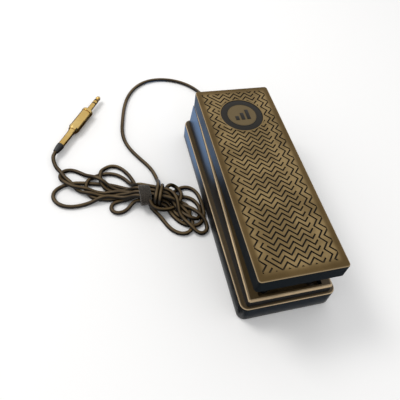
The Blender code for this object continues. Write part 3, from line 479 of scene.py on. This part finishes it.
def badge_block():
    """What the channels are kept out of."""
    form = bmesh.new()
    bmesh.ops.create_cone(form, cap_ends=True, segments=96, radius1=BADGE_CLEAR, radius2=BADGE_CLEAR,
                          depth=BLOCK_HEIGHT, matrix=Matrix.Translation((0, BADGE_Y, TREADLE_TOP)))
    return mesh_piece("badge_block", form)


def groove_cutter():
    """All the channels' cutters in one piece, clipped to the field and clear of the badge."""
    form = bmesh.new()
    for row in ROWS:
        groove(form, centre_row(ROW_START + row * ROW_STEP, row % 2 == 0))
    for left, right, first in MARGINS:
        groove(form, margin_line(left, right, first))
    cutter = mesh_piece("groove_cutter", form)
    add_boolean(cutter, "INTERSECT", field_block())
    add_boolean(cutter, "DIFFERENCE", badge_block())
    return cutter


def make_tread():
    """The treadle with its channels cut; its top and its channels are flat shaded, its sides smooth."""
    cut = mesh_piece("cut", baked(groove_cutter()))
    cut.data.transform(TREADLE)
    tread = copy_of("treadle", "grooved_treadle")
    add_boolean(tread, "DIFFERENCE", cut)
    form = baked(tread)
    for helper in ("cut", "field_block", "badge_block"):
        bpy.data.objects.remove(bpy.data.objects[helper], do_unlink=True)
    bmesh.ops.remove_doubles(form, verts=form.verts, dist=WELD)
    bmesh.ops.dissolve_degenerate(form, edges=form.edges, dist=WELD)
    made = mesh_piece("grooved_treadle", form, sharp=25)
    level = TREADLE.to_3x3() @ Vector((0, 0, 1))
    for face in made.data.polygons:
        middle = TREADLE.inverted() @ face.center
        inside = abs(middle.x) < TOP_HALF[0] and abs(middle.y - TOP_MIDDLE_Y) < TOP_HALF[1]
        face.use_smooth = not inside and face.normal.dot(level) < 0.99
    return made


tread = make_tread()
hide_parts("treadle")
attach(tread, "treadle")


# ---------------------------------------------------------------- badge
BADGE_FACE = TREADLE_TOP - 0.3 * MM
BADGE_RADIUS = 23.85 * MM
BADGE_FIELD = 16.6 * MM             # radius of the raised middle
BADGE_SINK = 0.55 * MM              # the plate's underside, below the face
BADGE_THICKNESS = 0.45 * MM
# Each inset from the rim inwards, as its width and its rise in millimetres.
BADGE_INSETS = ((0.25, 0.1), (6.2, 0), (0.2, 0.3), (0.5, 0), (0.2, -0.3), (0.7, 0), (0.2, 0.25))
BAR_HEIGHTS = (6 * MM, 10.5 * MM, 15 * MM)
BAR_WIDTH = 4.2 * MM
BAR_THICKNESS = 0.5 * MM
BAR_STEP = 6.6 * MM
BAR_FOOT_Y = BADGE_Y - 7.5 * MM
BAR_LEVEL = BADGE_FACE + 0.42 * MM


def make_badge():
    """A round plate: a wide sunk rim, a thin ring and a raised middle for the bars."""
    form = bmesh.new()
    bmesh.ops.create_circle(form, cap_ends=True, segments=72, radius=BADGE_RADIUS,
                            matrix=Matrix.Translation((0, BADGE_Y, BADGE_FACE - BADGE_SINK)))
    plate = form.faces[:]
    plate[0].normal_update()
    if plate[0].normal.z < 0:
        plate[0].normal_flip()
    made = bmesh.ops.extrude_face_region(form, geom=plate, use_keep_orig=True)["geom"]
    bmesh.ops.translate(form, verts=[v for v in made if isinstance(v, bmesh.types.BMVert)],
                        vec=(0, 0, BADGE_THICKNESS))
    top = [part for part in made if isinstance(part, bmesh.types.BMFace)]
    plate[0].normal_flip()
    for width, rise in BADGE_INSETS:
        bmesh.ops.inset_region(form, faces=top, thickness=width * MM, depth=rise * MM)
    form.transform(TREADLE)
    return mesh_piece("badge_plate", form, sharp=35)


def make_badge_bars():
    """Three rising bars, a plain mark for more and less."""
    form = bmesh.new()
    for i, height in enumerate(BAR_HEIGHTS):
        place = Matrix.Translation(((i - 1) * BAR_STEP, BAR_FOOT_Y + height / 2, BAR_LEVEL))
        size = Matrix.Diagonal((BAR_WIDTH, height, BAR_THICKNESS, 1))
        bmesh.ops.create_cube(form, size=1, matrix=place @ size)
    bmesh.ops.bevel(form, geom=form.edges, offset=0.14 * MM, offset_type="OFFSET", segments=2,
                    profile=0.5, affect="EDGES", material=-1)
    form.transform(TREADLE)
    return mesh_piece("badge_bars", form, sharp=35)


badge = make_badge()
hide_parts("badge_disc")
bars = make_badge_bars()
for piece in (badge, bars):
    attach(piece, "treadle")


# ---------------------------------------------------------------- strap and strain relief
STRAP_HALF = (11.6 * MM, 7.3 * MM)  # across and up, to the band's middle
STRAP_SQUARENESS = 0.72             # 1 is an ellipse, less is squarer
STRAP_START = -14.2 * MM            # both edges, along the strap's own axis
STRAP_END = -1.2 * MM
STRAP_TURN = math.radians(-0.384)   # from the X axis; the bundle's own line is at BUNDLE_ANGLE
STRAP_THICKNESS = 1.3 * MM
STRAP_LOOPS = 6
LAP_LIFT = 1.5 * MM
LAP_SHARE = 0.94                    # of the band's width
NAP_SIZE = 0.0016
NAP_HEIGHT = 0.35 * MM
RELIEF_RIBS = 6
RELIEF_BORE = 2.4 * MM
RELIEF_TIP = 1.5 * MM               # plain length beyond the last rib
RELIEF_FLANGE = 5.6 * MM


def oval(form, segments, swell=0.0, first=0.0, sweep=math.tau):
    """A squared-off oval of edges round the bundle's neck, in the plane across it."""
    closed = sweep == math.tau
    ring = []
    for i in range(segments if closed else segments + 1):
        turn = first + sweep * i / segments
        spot = [half * math.copysign(abs(part) ** STRAP_SQUARENESS, part) + swell * part
                for half, part in zip(STRAP_HALF, (math.cos(turn), math.sin(turn)))]
        ring.append(form.verts.new((0, *spot)))
    return [form.edges.new(pair) for pair in zip(ring, ring[1:] + ring[:1] if closed else ring[1:])]


def band(form, edges, width):
    """Pull edges sideways into a strip, in even steps."""
    for _ in range(STRAP_LOOPS):
        made = bmesh.ops.extrude_edge_only(form, edges=edges)["geom"]
        bmesh.ops.translate(form, verts=[v for v in made if isinstance(v, bmesh.types.BMVert)],
                            vec=(width / STRAP_LOOPS, 0, 0))
        edges = [part for part in made if isinstance(part, bmesh.types.BMEdge)
                 and abs(part.verts[0].co.x - part.verts[1].co.x) < 1e-7]


def make_strap():
    """The hook-and-loop band: once round the neck, with its loose end lapped over the top."""
    form = bmesh.new()
    width = STRAP_END - STRAP_START
    band(form, oval(form, 56), width)
    lap = bmesh.new()
    band(lap, oval(lap, 30, LAP_LIFT, math.radians(20), math.radians(165)), width * LAP_SHARE)
    joined(form, lap)
    bmesh.ops.recalc_face_normals(form, faces=form.faces)
    bmesh.ops.solidify(form, geom=form.faces, thickness=STRAP_THICKNESS)
    form.transform(Matrix.Translation((BUNDLE_X * MM, BUNDLE_Y * MM, WIND_MIDDLE * MM))
                   @ Matrix.Rotation(STRAP_TURN, 4, "Z")
                   @ Matrix.Translation((STRAP_START, 0, 0)))
    bmesh.ops.recalc_face_normals(form, faces=form.faces)
    made = mesh_piece("tie_strap", form, sharp=50)
    soft = made.modifiers.new("soft", "SUBSURF")
    soft.levels = soft.render_levels = 1
    fuzz = bpy.data.textures.new("nap", "CLOUDS")
    fuzz.noise_scale = NAP_SIZE
    nap = made.modifiers.new("nap", "DISPLACE")
    nap.texture = fuzz
    nap.strength = NAP_HEIGHT
    return made


def make_relief():
    """The lead's ribbed rubber strain relief, turned about its own axis."""
    low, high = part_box("strain_relief")
    middle = ((low[0] + high[0]) / 2, 0, (low[2] + high[2]) / 2)
    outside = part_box("base_shell")[1][1]
    tip = high[1]
    points = [(RELIEF_BORE, tip), (2.9 * MM, tip), (3.15 * MM, tip - 0.4 * MM)]
    gap = (tip - RELIEF_TIP - outside) / RELIEF_RIBS
    for i in range(RELIEF_RIBS):
        at = tip - RELIEF_TIP - gap * i
        radius = (3.3 + 2.2 * i / RELIEF_RIBS) * MM
        points += [(radius, at), (radius + 0.25 * MM, at - 0.45 * gap),
                   (radius - 0.55 * MM, at - 0.6 * gap), (radius - 0.5 * MM, at - 0.9 * gap)]
    points += [(RELIEF_FLANGE, outside), (RELIEF_FLANGE, low[1]), (RELIEF_BORE, low[1])]
    form = bmesh.new()
    line = [form.verts.new((middle[0] + radius, y, middle[2])) for radius, y in points]
    edges = [form.edges.new(pair) for pair in zip(line, line[1:] + line[:1])]
    bmesh.ops.spin(form, geom=line + edges, cent=middle, axis=(0, 1, 0), angle=math.tau, steps=40,
                   use_merge=True)
    bmesh.ops.remove_doubles(form, verts=form.verts, dist=WELD)
    bmesh.ops.recalc_face_normals(form, faces=form.faces)
    return mesh_piece("ribbed_relief", form, sharp=35)


strap = make_strap()
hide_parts("strap_band")
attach(strap, "base")
relief = make_relief()
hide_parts("strain_relief")
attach(relief, "base")


# ---------------------------------------------------------------- shader tools
def new_group(name, inputs, outputs):
    """An empty node group with named sockets, and its output node."""
    tree = bpy.data.node_groups.new(name, "ShaderNodeTree")
    for label, value in inputs:
        socket = tree.interface.new_socket(name=label, in_out="INPUT", socket_type="NodeSocketFloat")
        socket.default_value = value
    for label in outputs:
        tree.interface.new_socket(name=label, in_out="OUTPUT", socket_type="NodeSocketFloat")
    return tree, tree.nodes.new("NodeGroupOutput").inputs


def feed(tree, socket, value):
    """Give a socket a plain number or colour, or another node's output."""
    if isinstance(value, (int, float)):
        socket.default_value = value
    elif isinstance(value, tuple):
        socket.default_value = (*value, 1)
    else:
        tree.links.new(value, socket)


def coordinates(tree, kind="Object"):
    return tree.nodes.new("ShaderNodeTexCoord").outputs[kind]


def axes(tree, vector):
    """The three parts of a vector."""
    node = tree.nodes.new("ShaderNodeSeparateXYZ")
    tree.links.new(vector, node.inputs[0])
    return node.outputs


def math_node(tree, operation, *values, clamp=False):
    node = tree.nodes.new("ShaderNodeMath")
    node.operation = operation
    node.use_clamp = clamp
    for socket, value in zip(node.inputs, values):
        feed(tree, socket, value)
    return node.outputs[0]


def ramp(tree, value, low, high, to_low=0.0, to_high=1.0):
    """A smooth step from one number to another as the value goes from low to high."""
    node = tree.nodes.new("ShaderNodeMapRange")
    node.interpolation_type = "SMOOTHSTEP"
    tree.links.new(value, node.inputs["Value"])
    for label, number in (("From Min", low), ("From Max", high), ("To Min", to_low), ("To Max", to_high)):
        node.inputs[label].default_value = number
    return node.outputs[0]


def noise(tree, scale, detail):
    node = tree.nodes.new("ShaderNodeTexNoise")
    node.inputs["Detail"].default_value = detail
    node.inputs["Roughness"].default_value = 0.6
    feed(tree, node.inputs["Scale"], scale)
    tree.links.new(coordinates(tree), node.inputs["Vector"])
    return node.outputs["Fac"]


def mix_colour(tree, factor, a, b):
    node = tree.nodes.new("ShaderNodeMix")
    node.data_type = "RGBA"
    feed(tree, node.inputs["Factor"], factor)
    feed(tree, node.inputs[6], a)
    feed(tree, node.inputs[7], b)
    return node.outputs[2]


def grain_group():
    """Moulded grain: a height, a patchy mask and a roughness that varies."""
    tree, out = new_group("moulded_grain", [("Grain Scale", 900.0), ("Roughness", 0.4), ("Variation", 0.1)],
                          ["Height", "Patches", "Roughness"])
    given = tree.nodes.new("NodeGroupInput").outputs
    patches = noise(tree, 28.0, 4.0)
    spread = math_node(tree, "MULTIPLY", math_node(tree, "SUBTRACT", patches, 0.5), given["Variation"])
    tree.links.new(noise(tree, given["Grain Scale"], 2.0), out["Height"])
    tree.links.new(ramp(tree, patches, 0.35, 0.68), out["Patches"])
    tree.links.new(math_node(tree, "ADD", given["Roughness"], spread, clamp=True), out["Roughness"])
    return tree


def upward_group():
    """Mask is 1 where the surface faces up; Edge is 1 on the rounded edge between top and side. The finishes
    use Mask for painted light between tops and sides, and Edge for painted highlights.
    """
    tree, out = new_group("upward_faces", [], ["Mask", "Edge"])
    up = axes(tree, coordinates(tree, "Normal"))["Z"]
    tree.links.new(ramp(tree, up, 0.45, 0.95), out["Mask"])
    tree.links.new(math_node(tree, "MULTIPLY", ramp(tree, up, 0.30, 0.55), ramp(tree, up, 0.985, 0.90)),
                   out["Edge"])
    return tree


GRAIN = grain_group()
UPWARD = upward_group()


def grained(tree, scale, roughness, variation):
    """The outputs of the moulded grain, with one finish's own values."""
    node = tree.nodes.new("ShaderNodeGroup")
    node.node_tree = GRAIN
    node.inputs["Grain Scale"].default_value = scale
    node.inputs["Roughness"].default_value = roughness
    node.inputs["Variation"].default_value = variation
    return node.outputs


def facing(tree):
    node = tree.nodes.new("ShaderNodeGroup")
    node.node_tree = UPWARD
    return node.outputs


def finish(name, roughness, metallic=0.0, specular=0.5):
    """A new material and its shader, with the plain values set on the shader."""
    made = bpy.data.materials.new(name)
    made.use_nodes = True
    tree = made.node_tree
    shader = tree.nodes["Principled BSDF"]
    shader.inputs["Roughness"].default_value = roughness
    shader.inputs["Metallic"].default_value = metallic
    shader.inputs["Specular IOR Level"].default_value = specular
    return made, tree, shader


def dress(tree, shader, colour, grain, relief, strength):
    """Lead a colour, the grain's roughness and the grain's bump into the shader."""
    tree.links.new(colour, shader.inputs["Base Color"])
    tree.links.new(grain["Roughness"], shader.inputs["Roughness"])
    bump = tree.nodes.new("ShaderNodeBump")
    bump.inputs["Strength"].default_value = strength
    bump.inputs["Distance"].default_value = relief
    tree.links.new(grain["Height"], bump.inputs["Height"])
    tree.links.new(bump.outputs[0], shader.inputs["Normal"])


def give(finish_made, *things):
    """Put one finish on pieces or CAD nodes, in place of whatever they had."""
    for thing in things:
        thing = frame["nodes"][thing] if isinstance(thing, str) else thing
        for slot in thing.material_slots:
            slot.material = finish_made
        if not thing.material_slots:
            thing.data.materials.append(finish_made)


# ---------------------------------------------------------------- finishes
BLACK_PLASTIC = (0.006, 0.007, 0.009)
# Painted highlight colour for the base's rounded edges.
EDGE_HIGHLIGHT = (0.62, 0.46, 0.27)
TREADLE_BROWN = ((0.080, 0.049, 0.014), (0.112, 0.070, 0.023))
TREADLE_FIELD_PALE = (0.26, 0.182, 0.080)
# Painted highlight colour for the treadle's rounded top edge.
TREADLE_EDGE_HIGHLIGHT = (0.34, 0.25, 0.14)
# Painted shade colour for the treadle's sides.
TREADLE_SIDE_SHADE = (0.006, 0.008, 0.010)
# Painted shade colour for the channels.
GROOVE_SHADE = (0.010, 0.006, 0.002)
GROOVE_SHADE_DEPTH = (0.05 * MM, 0.4 * MM)  # where the painted groove shade starts and where it is full
FADE_X = (40.5 * MM, 35 * MM)       # the grooved field's paler tone and its painted groove shade fade in between these distances from the middle
FADE_Y = (119 * MM, 110 * MM)
RIM_HIGHLIGHT_DEPTH = (2 * MM, 1 * MM)


def plastic(name, side, top, edge, roughness):
    """Moulded plastic: dark on its sides; painted light makes it duller and warmer where it faces up, and
    painted highlights lie along its edges.
    """
    made, tree, shader = finish(name, roughness, specular=0.3)
    grain = grained(tree, 1100.0, roughness, 0.14)
    up = facing(tree)
    lit_top = mix_colour(tree, grain["Patches"], top, tuple(c * 1.3 for c in top))
    # Painted light: upward faces take the lighter, warmer top colour, and the sides keep the dark side colour.
    colour = mix_colour(tree, up["Mask"], side, lit_top)
    # Painted highlight: the edge colour is laid on the rounded edges, a little patchy.
    edge_highlight_mask = math_node(tree, "MULTIPLY", up["Edge"], ramp(tree, grain["Patches"], 0.0, 1.0, 0.7, 1.0))
    dress(tree, shader, mix_colour(tree, edge_highlight_mask, colour, edge), grain, 0.03 * MM, 0.5)
    return made


def tread_finish():
    """The treadle's plastic, with painted shade in its grooves, paler bars between them, a painted highlight on
    its rounded rim and painted shade on its sides.
    """
    made, tree, shader = finish("tread_finish", 0.45, specular=0.15)
    grain = grained(tree, 900.0, 0.46, 0.18)
    up = facing(tree)
    place = tree.nodes.new("ShaderNodeMapping")
    place.vector_type = "TEXTURE"
    place.inputs["Location"].default_value = PIVOT
    place.inputs["Rotation"].default_value = (REST_TILT, 0, 0)
    tree.links.new(coordinates(tree), place.inputs["Vector"])
    x, y, z = axes(tree, place.outputs[0])
    groove_shade_mask = ramp(tree, z, *(TREADLE_TOP - depth for depth in GROOVE_SHADE_DEPTH))
    from_middle = math_node(tree, "SUBTRACT", y, TOP_MIDDLE_Y)
    field = math_node(tree, "MULTIPLY", ramp(tree, math_node(tree, "ABSOLUTE", x), *FADE_X),
                      ramp(tree, math_node(tree, "ABSOLUTE", from_middle), *FADE_Y))
    field_pale = math_node(tree, "MULTIPLY", field, ramp(tree, grain["Patches"], 0, 1, 0.45, 1.0))
    top = mix_colour(tree, field_pale, mix_colour(tree, grain["Patches"], *TREADLE_BROWN), TREADLE_FIELD_PALE)
    # Painted shade: the channels are darkened below the top, inside the field.
    cut = mix_colour(tree, math_node(tree, "MULTIPLY", groove_shade_mask, field), top, GROOVE_SHADE)
    # Painted shade: faces that don't face up take the near-black side colour.
    colour = mix_colour(tree, up["Mask"], TREADLE_SIDE_SHADE, cut)
    # Painted highlight along the treadle's rounded top edge, outside the field.
    edge = math_node(tree, "MULTIPLY", up["Edge"], ramp(tree, z, *(TREADLE_TOP - depth for depth in RIM_HIGHLIGHT_DEPTH)))
    rim = math_node(tree, "SUBTRACT", edge, math_node(tree, "MULTIPLY", edge, field))
    dress(tree, shader, mix_colour(tree, rim, colour, TREADLE_EDGE_HIGHLIGHT), grain, 0.04 * MM, 0.5)
    return made


def surface(name, colours, roughness, metallic=0.0, grain_scale=900.0, specular=0.5):
    """A plain stock finish: two colours in soft patches, a fine grain and an uneven gloss."""
    made, tree, shader = finish(name, roughness, metallic, specular)
    grain = grained(tree, grain_scale, roughness, 0.12)
    dress(tree, shader, mix_colour(tree, grain["Patches"], *colours), grain, 0.02 * MM, 0.6)
    return made


def strap_finish():
    """Dark hook-and-loop fabric: a fuzzy nap with paler fibres on top."""
    made, tree, shader = finish("strap_nap", 0.95, specular=0.1)
    shader.inputs["Sheen Weight"].default_value = 0.35
    grain = grained(tree, 1500.0, 0.95, 0.05)
    fibres = ramp(tree, grain["Height"], 0.4, 0.62)
    dress(tree, shader, mix_colour(tree, fibres, (0.006, 0.005, 0.004), (0.060, 0.048, 0.036)), grain,
          0.5 * MM, 0.9)
    return made


def badge_finish():
    """The badge's plastic: a dark rim with its thin ring, and a paler middle."""
    made, tree, shader = finish("badge_finish", 0.4, specular=0.3)
    grain = grained(tree, 1000.0, 0.42, 0.15)
    reach = tree.nodes.new("ShaderNodeVectorMath")
    reach.operation = "DISTANCE"
    reach.inputs[1].default_value = TREADLE @ Vector((0, BADGE_Y, BADGE_FACE))
    tree.links.new(coordinates(tree), reach.inputs[0])
    middle = ramp(tree, reach.outputs["Value"], BADGE_FIELD + 0.3 * MM, BADGE_FIELD - 0.3 * MM)
    dress(tree, shader, mix_colour(tree, middle, (0.008, 0.006, 0.003), (0.115, 0.080, 0.032)), grain,
          0.03 * MM, 0.5)
    return made


def cord_finish():
    """The lead's dark rubber jacket, with a painted highlight along its top."""
    made, tree, shader = finish("lead_rubber", 0.42, specular=0.2)
    grain = grained(tree, 700.0, 0.42, 0.2)
    up = ramp(tree, axes(tree, coordinates(tree, "Normal"))["Z"], 0.6, 1.0)
    # Painted highlight: a golden tone on the upward-facing top of the lead.
    top_highlight = mix_colour(tree, grain["Patches"], (0.060, 0.037, 0.014), (0.135, 0.090, 0.040))
    dress(tree, shader, mix_colour(tree, up, (0.005, 0.003, 0.001), top_highlight), grain, 0.03 * MM, 0.4)
    return made


give(tread_finish(), tread)
# The edge colours given here are painted highlights on rounded edges, and the top colours are painted light on
# upward faces.
give(plastic("base_finish", side=BLACK_PLASTIC, top=(0.050, 0.033, 0.014), edge=EDGE_HIGHLIGHT, roughness=0.32),
     "base_shell")
give(plastic("underside_finish", side=BLACK_PLASTIC, top=(0.02, 0.02, 0.02), edge=(0.05, 0.05, 0.05),
             roughness=0.45), "bottom_plate")
give(plastic("knob_finish", side=(0.02, 0.02, 0.02), top=(0.03, 0.03, 0.03), edge=(0.10, 0.09, 0.08),
             roughness=0.35), "range_knob", "polarity_slider")
give(cord_finish(), lead)
give(surface("relief_rubber", ((0.008, 0.007, 0.006), (0.018, 0.015, 0.012)), 0.5, specular=0.3), relief)
give(strap_finish(), strap)
give(badge_finish(), badge)
give(surface("badge_dark", ((0.010, 0.008, 0.005), (0.016, 0.013, 0.009)), 0.4, specular=0.3), bars)
give(surface("black_rubber", ((0.012, 0.012, 0.012), (0.022, 0.021, 0.020)), 0.7, specular=0.3),
     "foot_1", "foot_2", "foot_3", "foot_4", "toe_bumper_left", "toe_bumper_right",
     "heel_bumper_left", "heel_bumper_right")
give(surface("zinc_plate", ((0.52, 0.53, 0.54), (0.66, 0.67, 0.68)), 0.38, metallic=1.0, grain_scale=300.0),
     "pot_bracket", "pot_body", "range_pot_body", "polarity_switch_body")
give(surface("turned_steel", ((0.58, 0.57, 0.55), (0.70, 0.69, 0.67)), 0.24, metallic=1.0,
             grain_scale=1500.0),
     "plate_screw_1", "plate_screw_2", "plate_screw_3", "plate_screw_4", "plate_screw_5",
     "plate_screw_6", "pot_nut", "bracket_screw_1", "bracket_screw_2", "range_shaft", "pivot_shaft",
     "retaining_clip_left", "retaining_clip_right", "sector_screw_1", "sector_screw_2", "pot_shaft")
give(surface("white_nylon", ((0.78, 0.76, 0.70), (0.84, 0.83, 0.79)), 0.42),
     "bushing_left", "bushing_right", "friction_washer_left", "friction_washer_right", "sector_gear",
     "pinion")
give(surface("board_green", ((0.012, 0.10, 0.035), (0.02, 0.14, 0.05)), 0.35, grain_scale=500.0),
     "circuit_board")
give(surface("hookup_wire", ((0.03, 0.03, 0.03), (0.05, 0.05, 0.05)), 0.5), "pot_wires", "inner_lead")
give(surface("plug_gold", ((0.66, 0.43, 0.13), (0.80, 0.57, 0.22)), 0.16, metallic=1.0, grain_scale=1400.0),
     "plug_tail", "plug_rim", "plug_barrel", "plug_collar", "plug_sleeve", "plug_ring", "plug_tip")
give(surface("plug_black", ((0.008, 0.008, 0.008), (0.014, 0.013, 0.012)), 0.35),
     "plug_insulator_1", "plug_insulator_2", "plug_boot")


# ---------------------------------------------------------------- stage
FLOOR_REACH = 4                     # metres
FLOOR_WHITE = (0.93, 0.93, 0.93)
SKY_STRENGTH = 0.82
KEY_PLACE = (-0.75, 0.65, 1.25)
KEY_AIM = (0, 0, 0.03)
KEY_SIZE = 0.55
KEY_POWER = 9.0
KEY_COLOUR = (1, 0.98, 0.95)
CARD_LEVEL = 0.4 * MM
CARD_FADE_X = (-0.062, -0.075)      # a card grows brighter from the first x to the second
CARD_FADE = (0.75, 1.6)


def make_key_light():
    data = bpy.data.lights.new("key", "AREA")
    data.energy = KEY_POWER
    data.size = KEY_SIZE
    data.color = KEY_COLOUR
    lamp = scene_object("key", data)
    lamp.location = KEY_PLACE
    lamp.rotation_euler = (Vector(KEY_AIM) - Vector(KEY_PLACE)).to_track_quat("-Z", "Y").to_euler()


def make_stage():
    """A pale floor under an even white sky, with one soft lamp."""
    form = bmesh.new()
    bmesh.ops.create_grid(form, x_segments=1, y_segments=1, size=FLOOR_REACH)
    floor = mesh_piece("floor", form)
    paper, tree, shader = finish("floor_paper", 0.9, specular=0.1)
    feed(tree, shader.inputs["Base Color"], FLOOR_WHITE)
    floor.data.materials.append(paper)
    world = bpy.data.worlds.new("studio")
    world.use_nodes = True
    sky = world.node_tree.nodes["Background"]
    sky.inputs["Color"].default_value = (1, 1, 1, 1)
    sky.inputs["Strength"].default_value = SKY_STRENGTH
    bpy.context.scene.world = world
    make_key_light()
    bpy.context.scene.view_settings.view_transform = "Standard"


def reflection_card(name, low, high, colour, strength, fade):
    """A card just over the floor that only glossy surfaces see: it colours what they mirror."""
    form = bmesh.new()
    middle = ((low[0] + high[0]) / 2, (low[1] + high[1]) / 2, CARD_LEVEL)
    size = (high[0] - low[0], high[1] - low[1], 1, 1)
    bmesh.ops.create_grid(form, x_segments=1, y_segments=1, size=0.5,
                          matrix=Matrix.Translation(middle) @ Matrix.Diagonal(size))
    card = mesh_piece(name, form)
    card.visible_camera = card.visible_diffuse = card.visible_transmission = False
    card.visible_volume_scatter = card.visible_shadow = False
    glow, tree, shader = finish(name + "_paint", 1.0, specular=0.0)
    feed(tree, shader.inputs["Base Color"], (0, 0, 0))
    shader.inputs["Emission Strength"].default_value = strength
    place = axes(tree, coordinates(tree))
    away = ramp(tree, place["X"], *CARD_FADE_X, *CARD_FADE)
    along = math_node(tree, "MULTIPLY", ramp(tree, place["Y"], low[1], low[1] + fade), away)
    tree.links.new(mix_colour(tree, along, (0, 0, 0), colour), shader.inputs["Emission Color"])
    card.data.materials.append(glow)


make_stage()
reflection_card("plug_card", (-0.27, 0.07), (-0.13, 0.24), (0.04, 0.03, 0.02), 1.0, 0.01)
reflection_card("blue_card", (-0.083, 0.025), (-0.0525, 0.30), (0.30, 0.50, 0.86), 2.5, 0.07)
reflection_card("dark_card", (-0.12, -0.40), (-0.0525, 0.025), (0.02, 0.02, 0.02), 1.0, 0.01)
reflection_card("heel_card", (-0.0525, -0.40), (0.20, -0.1325), (0.10, 0.13, 0.16), 1.0, 0.01)
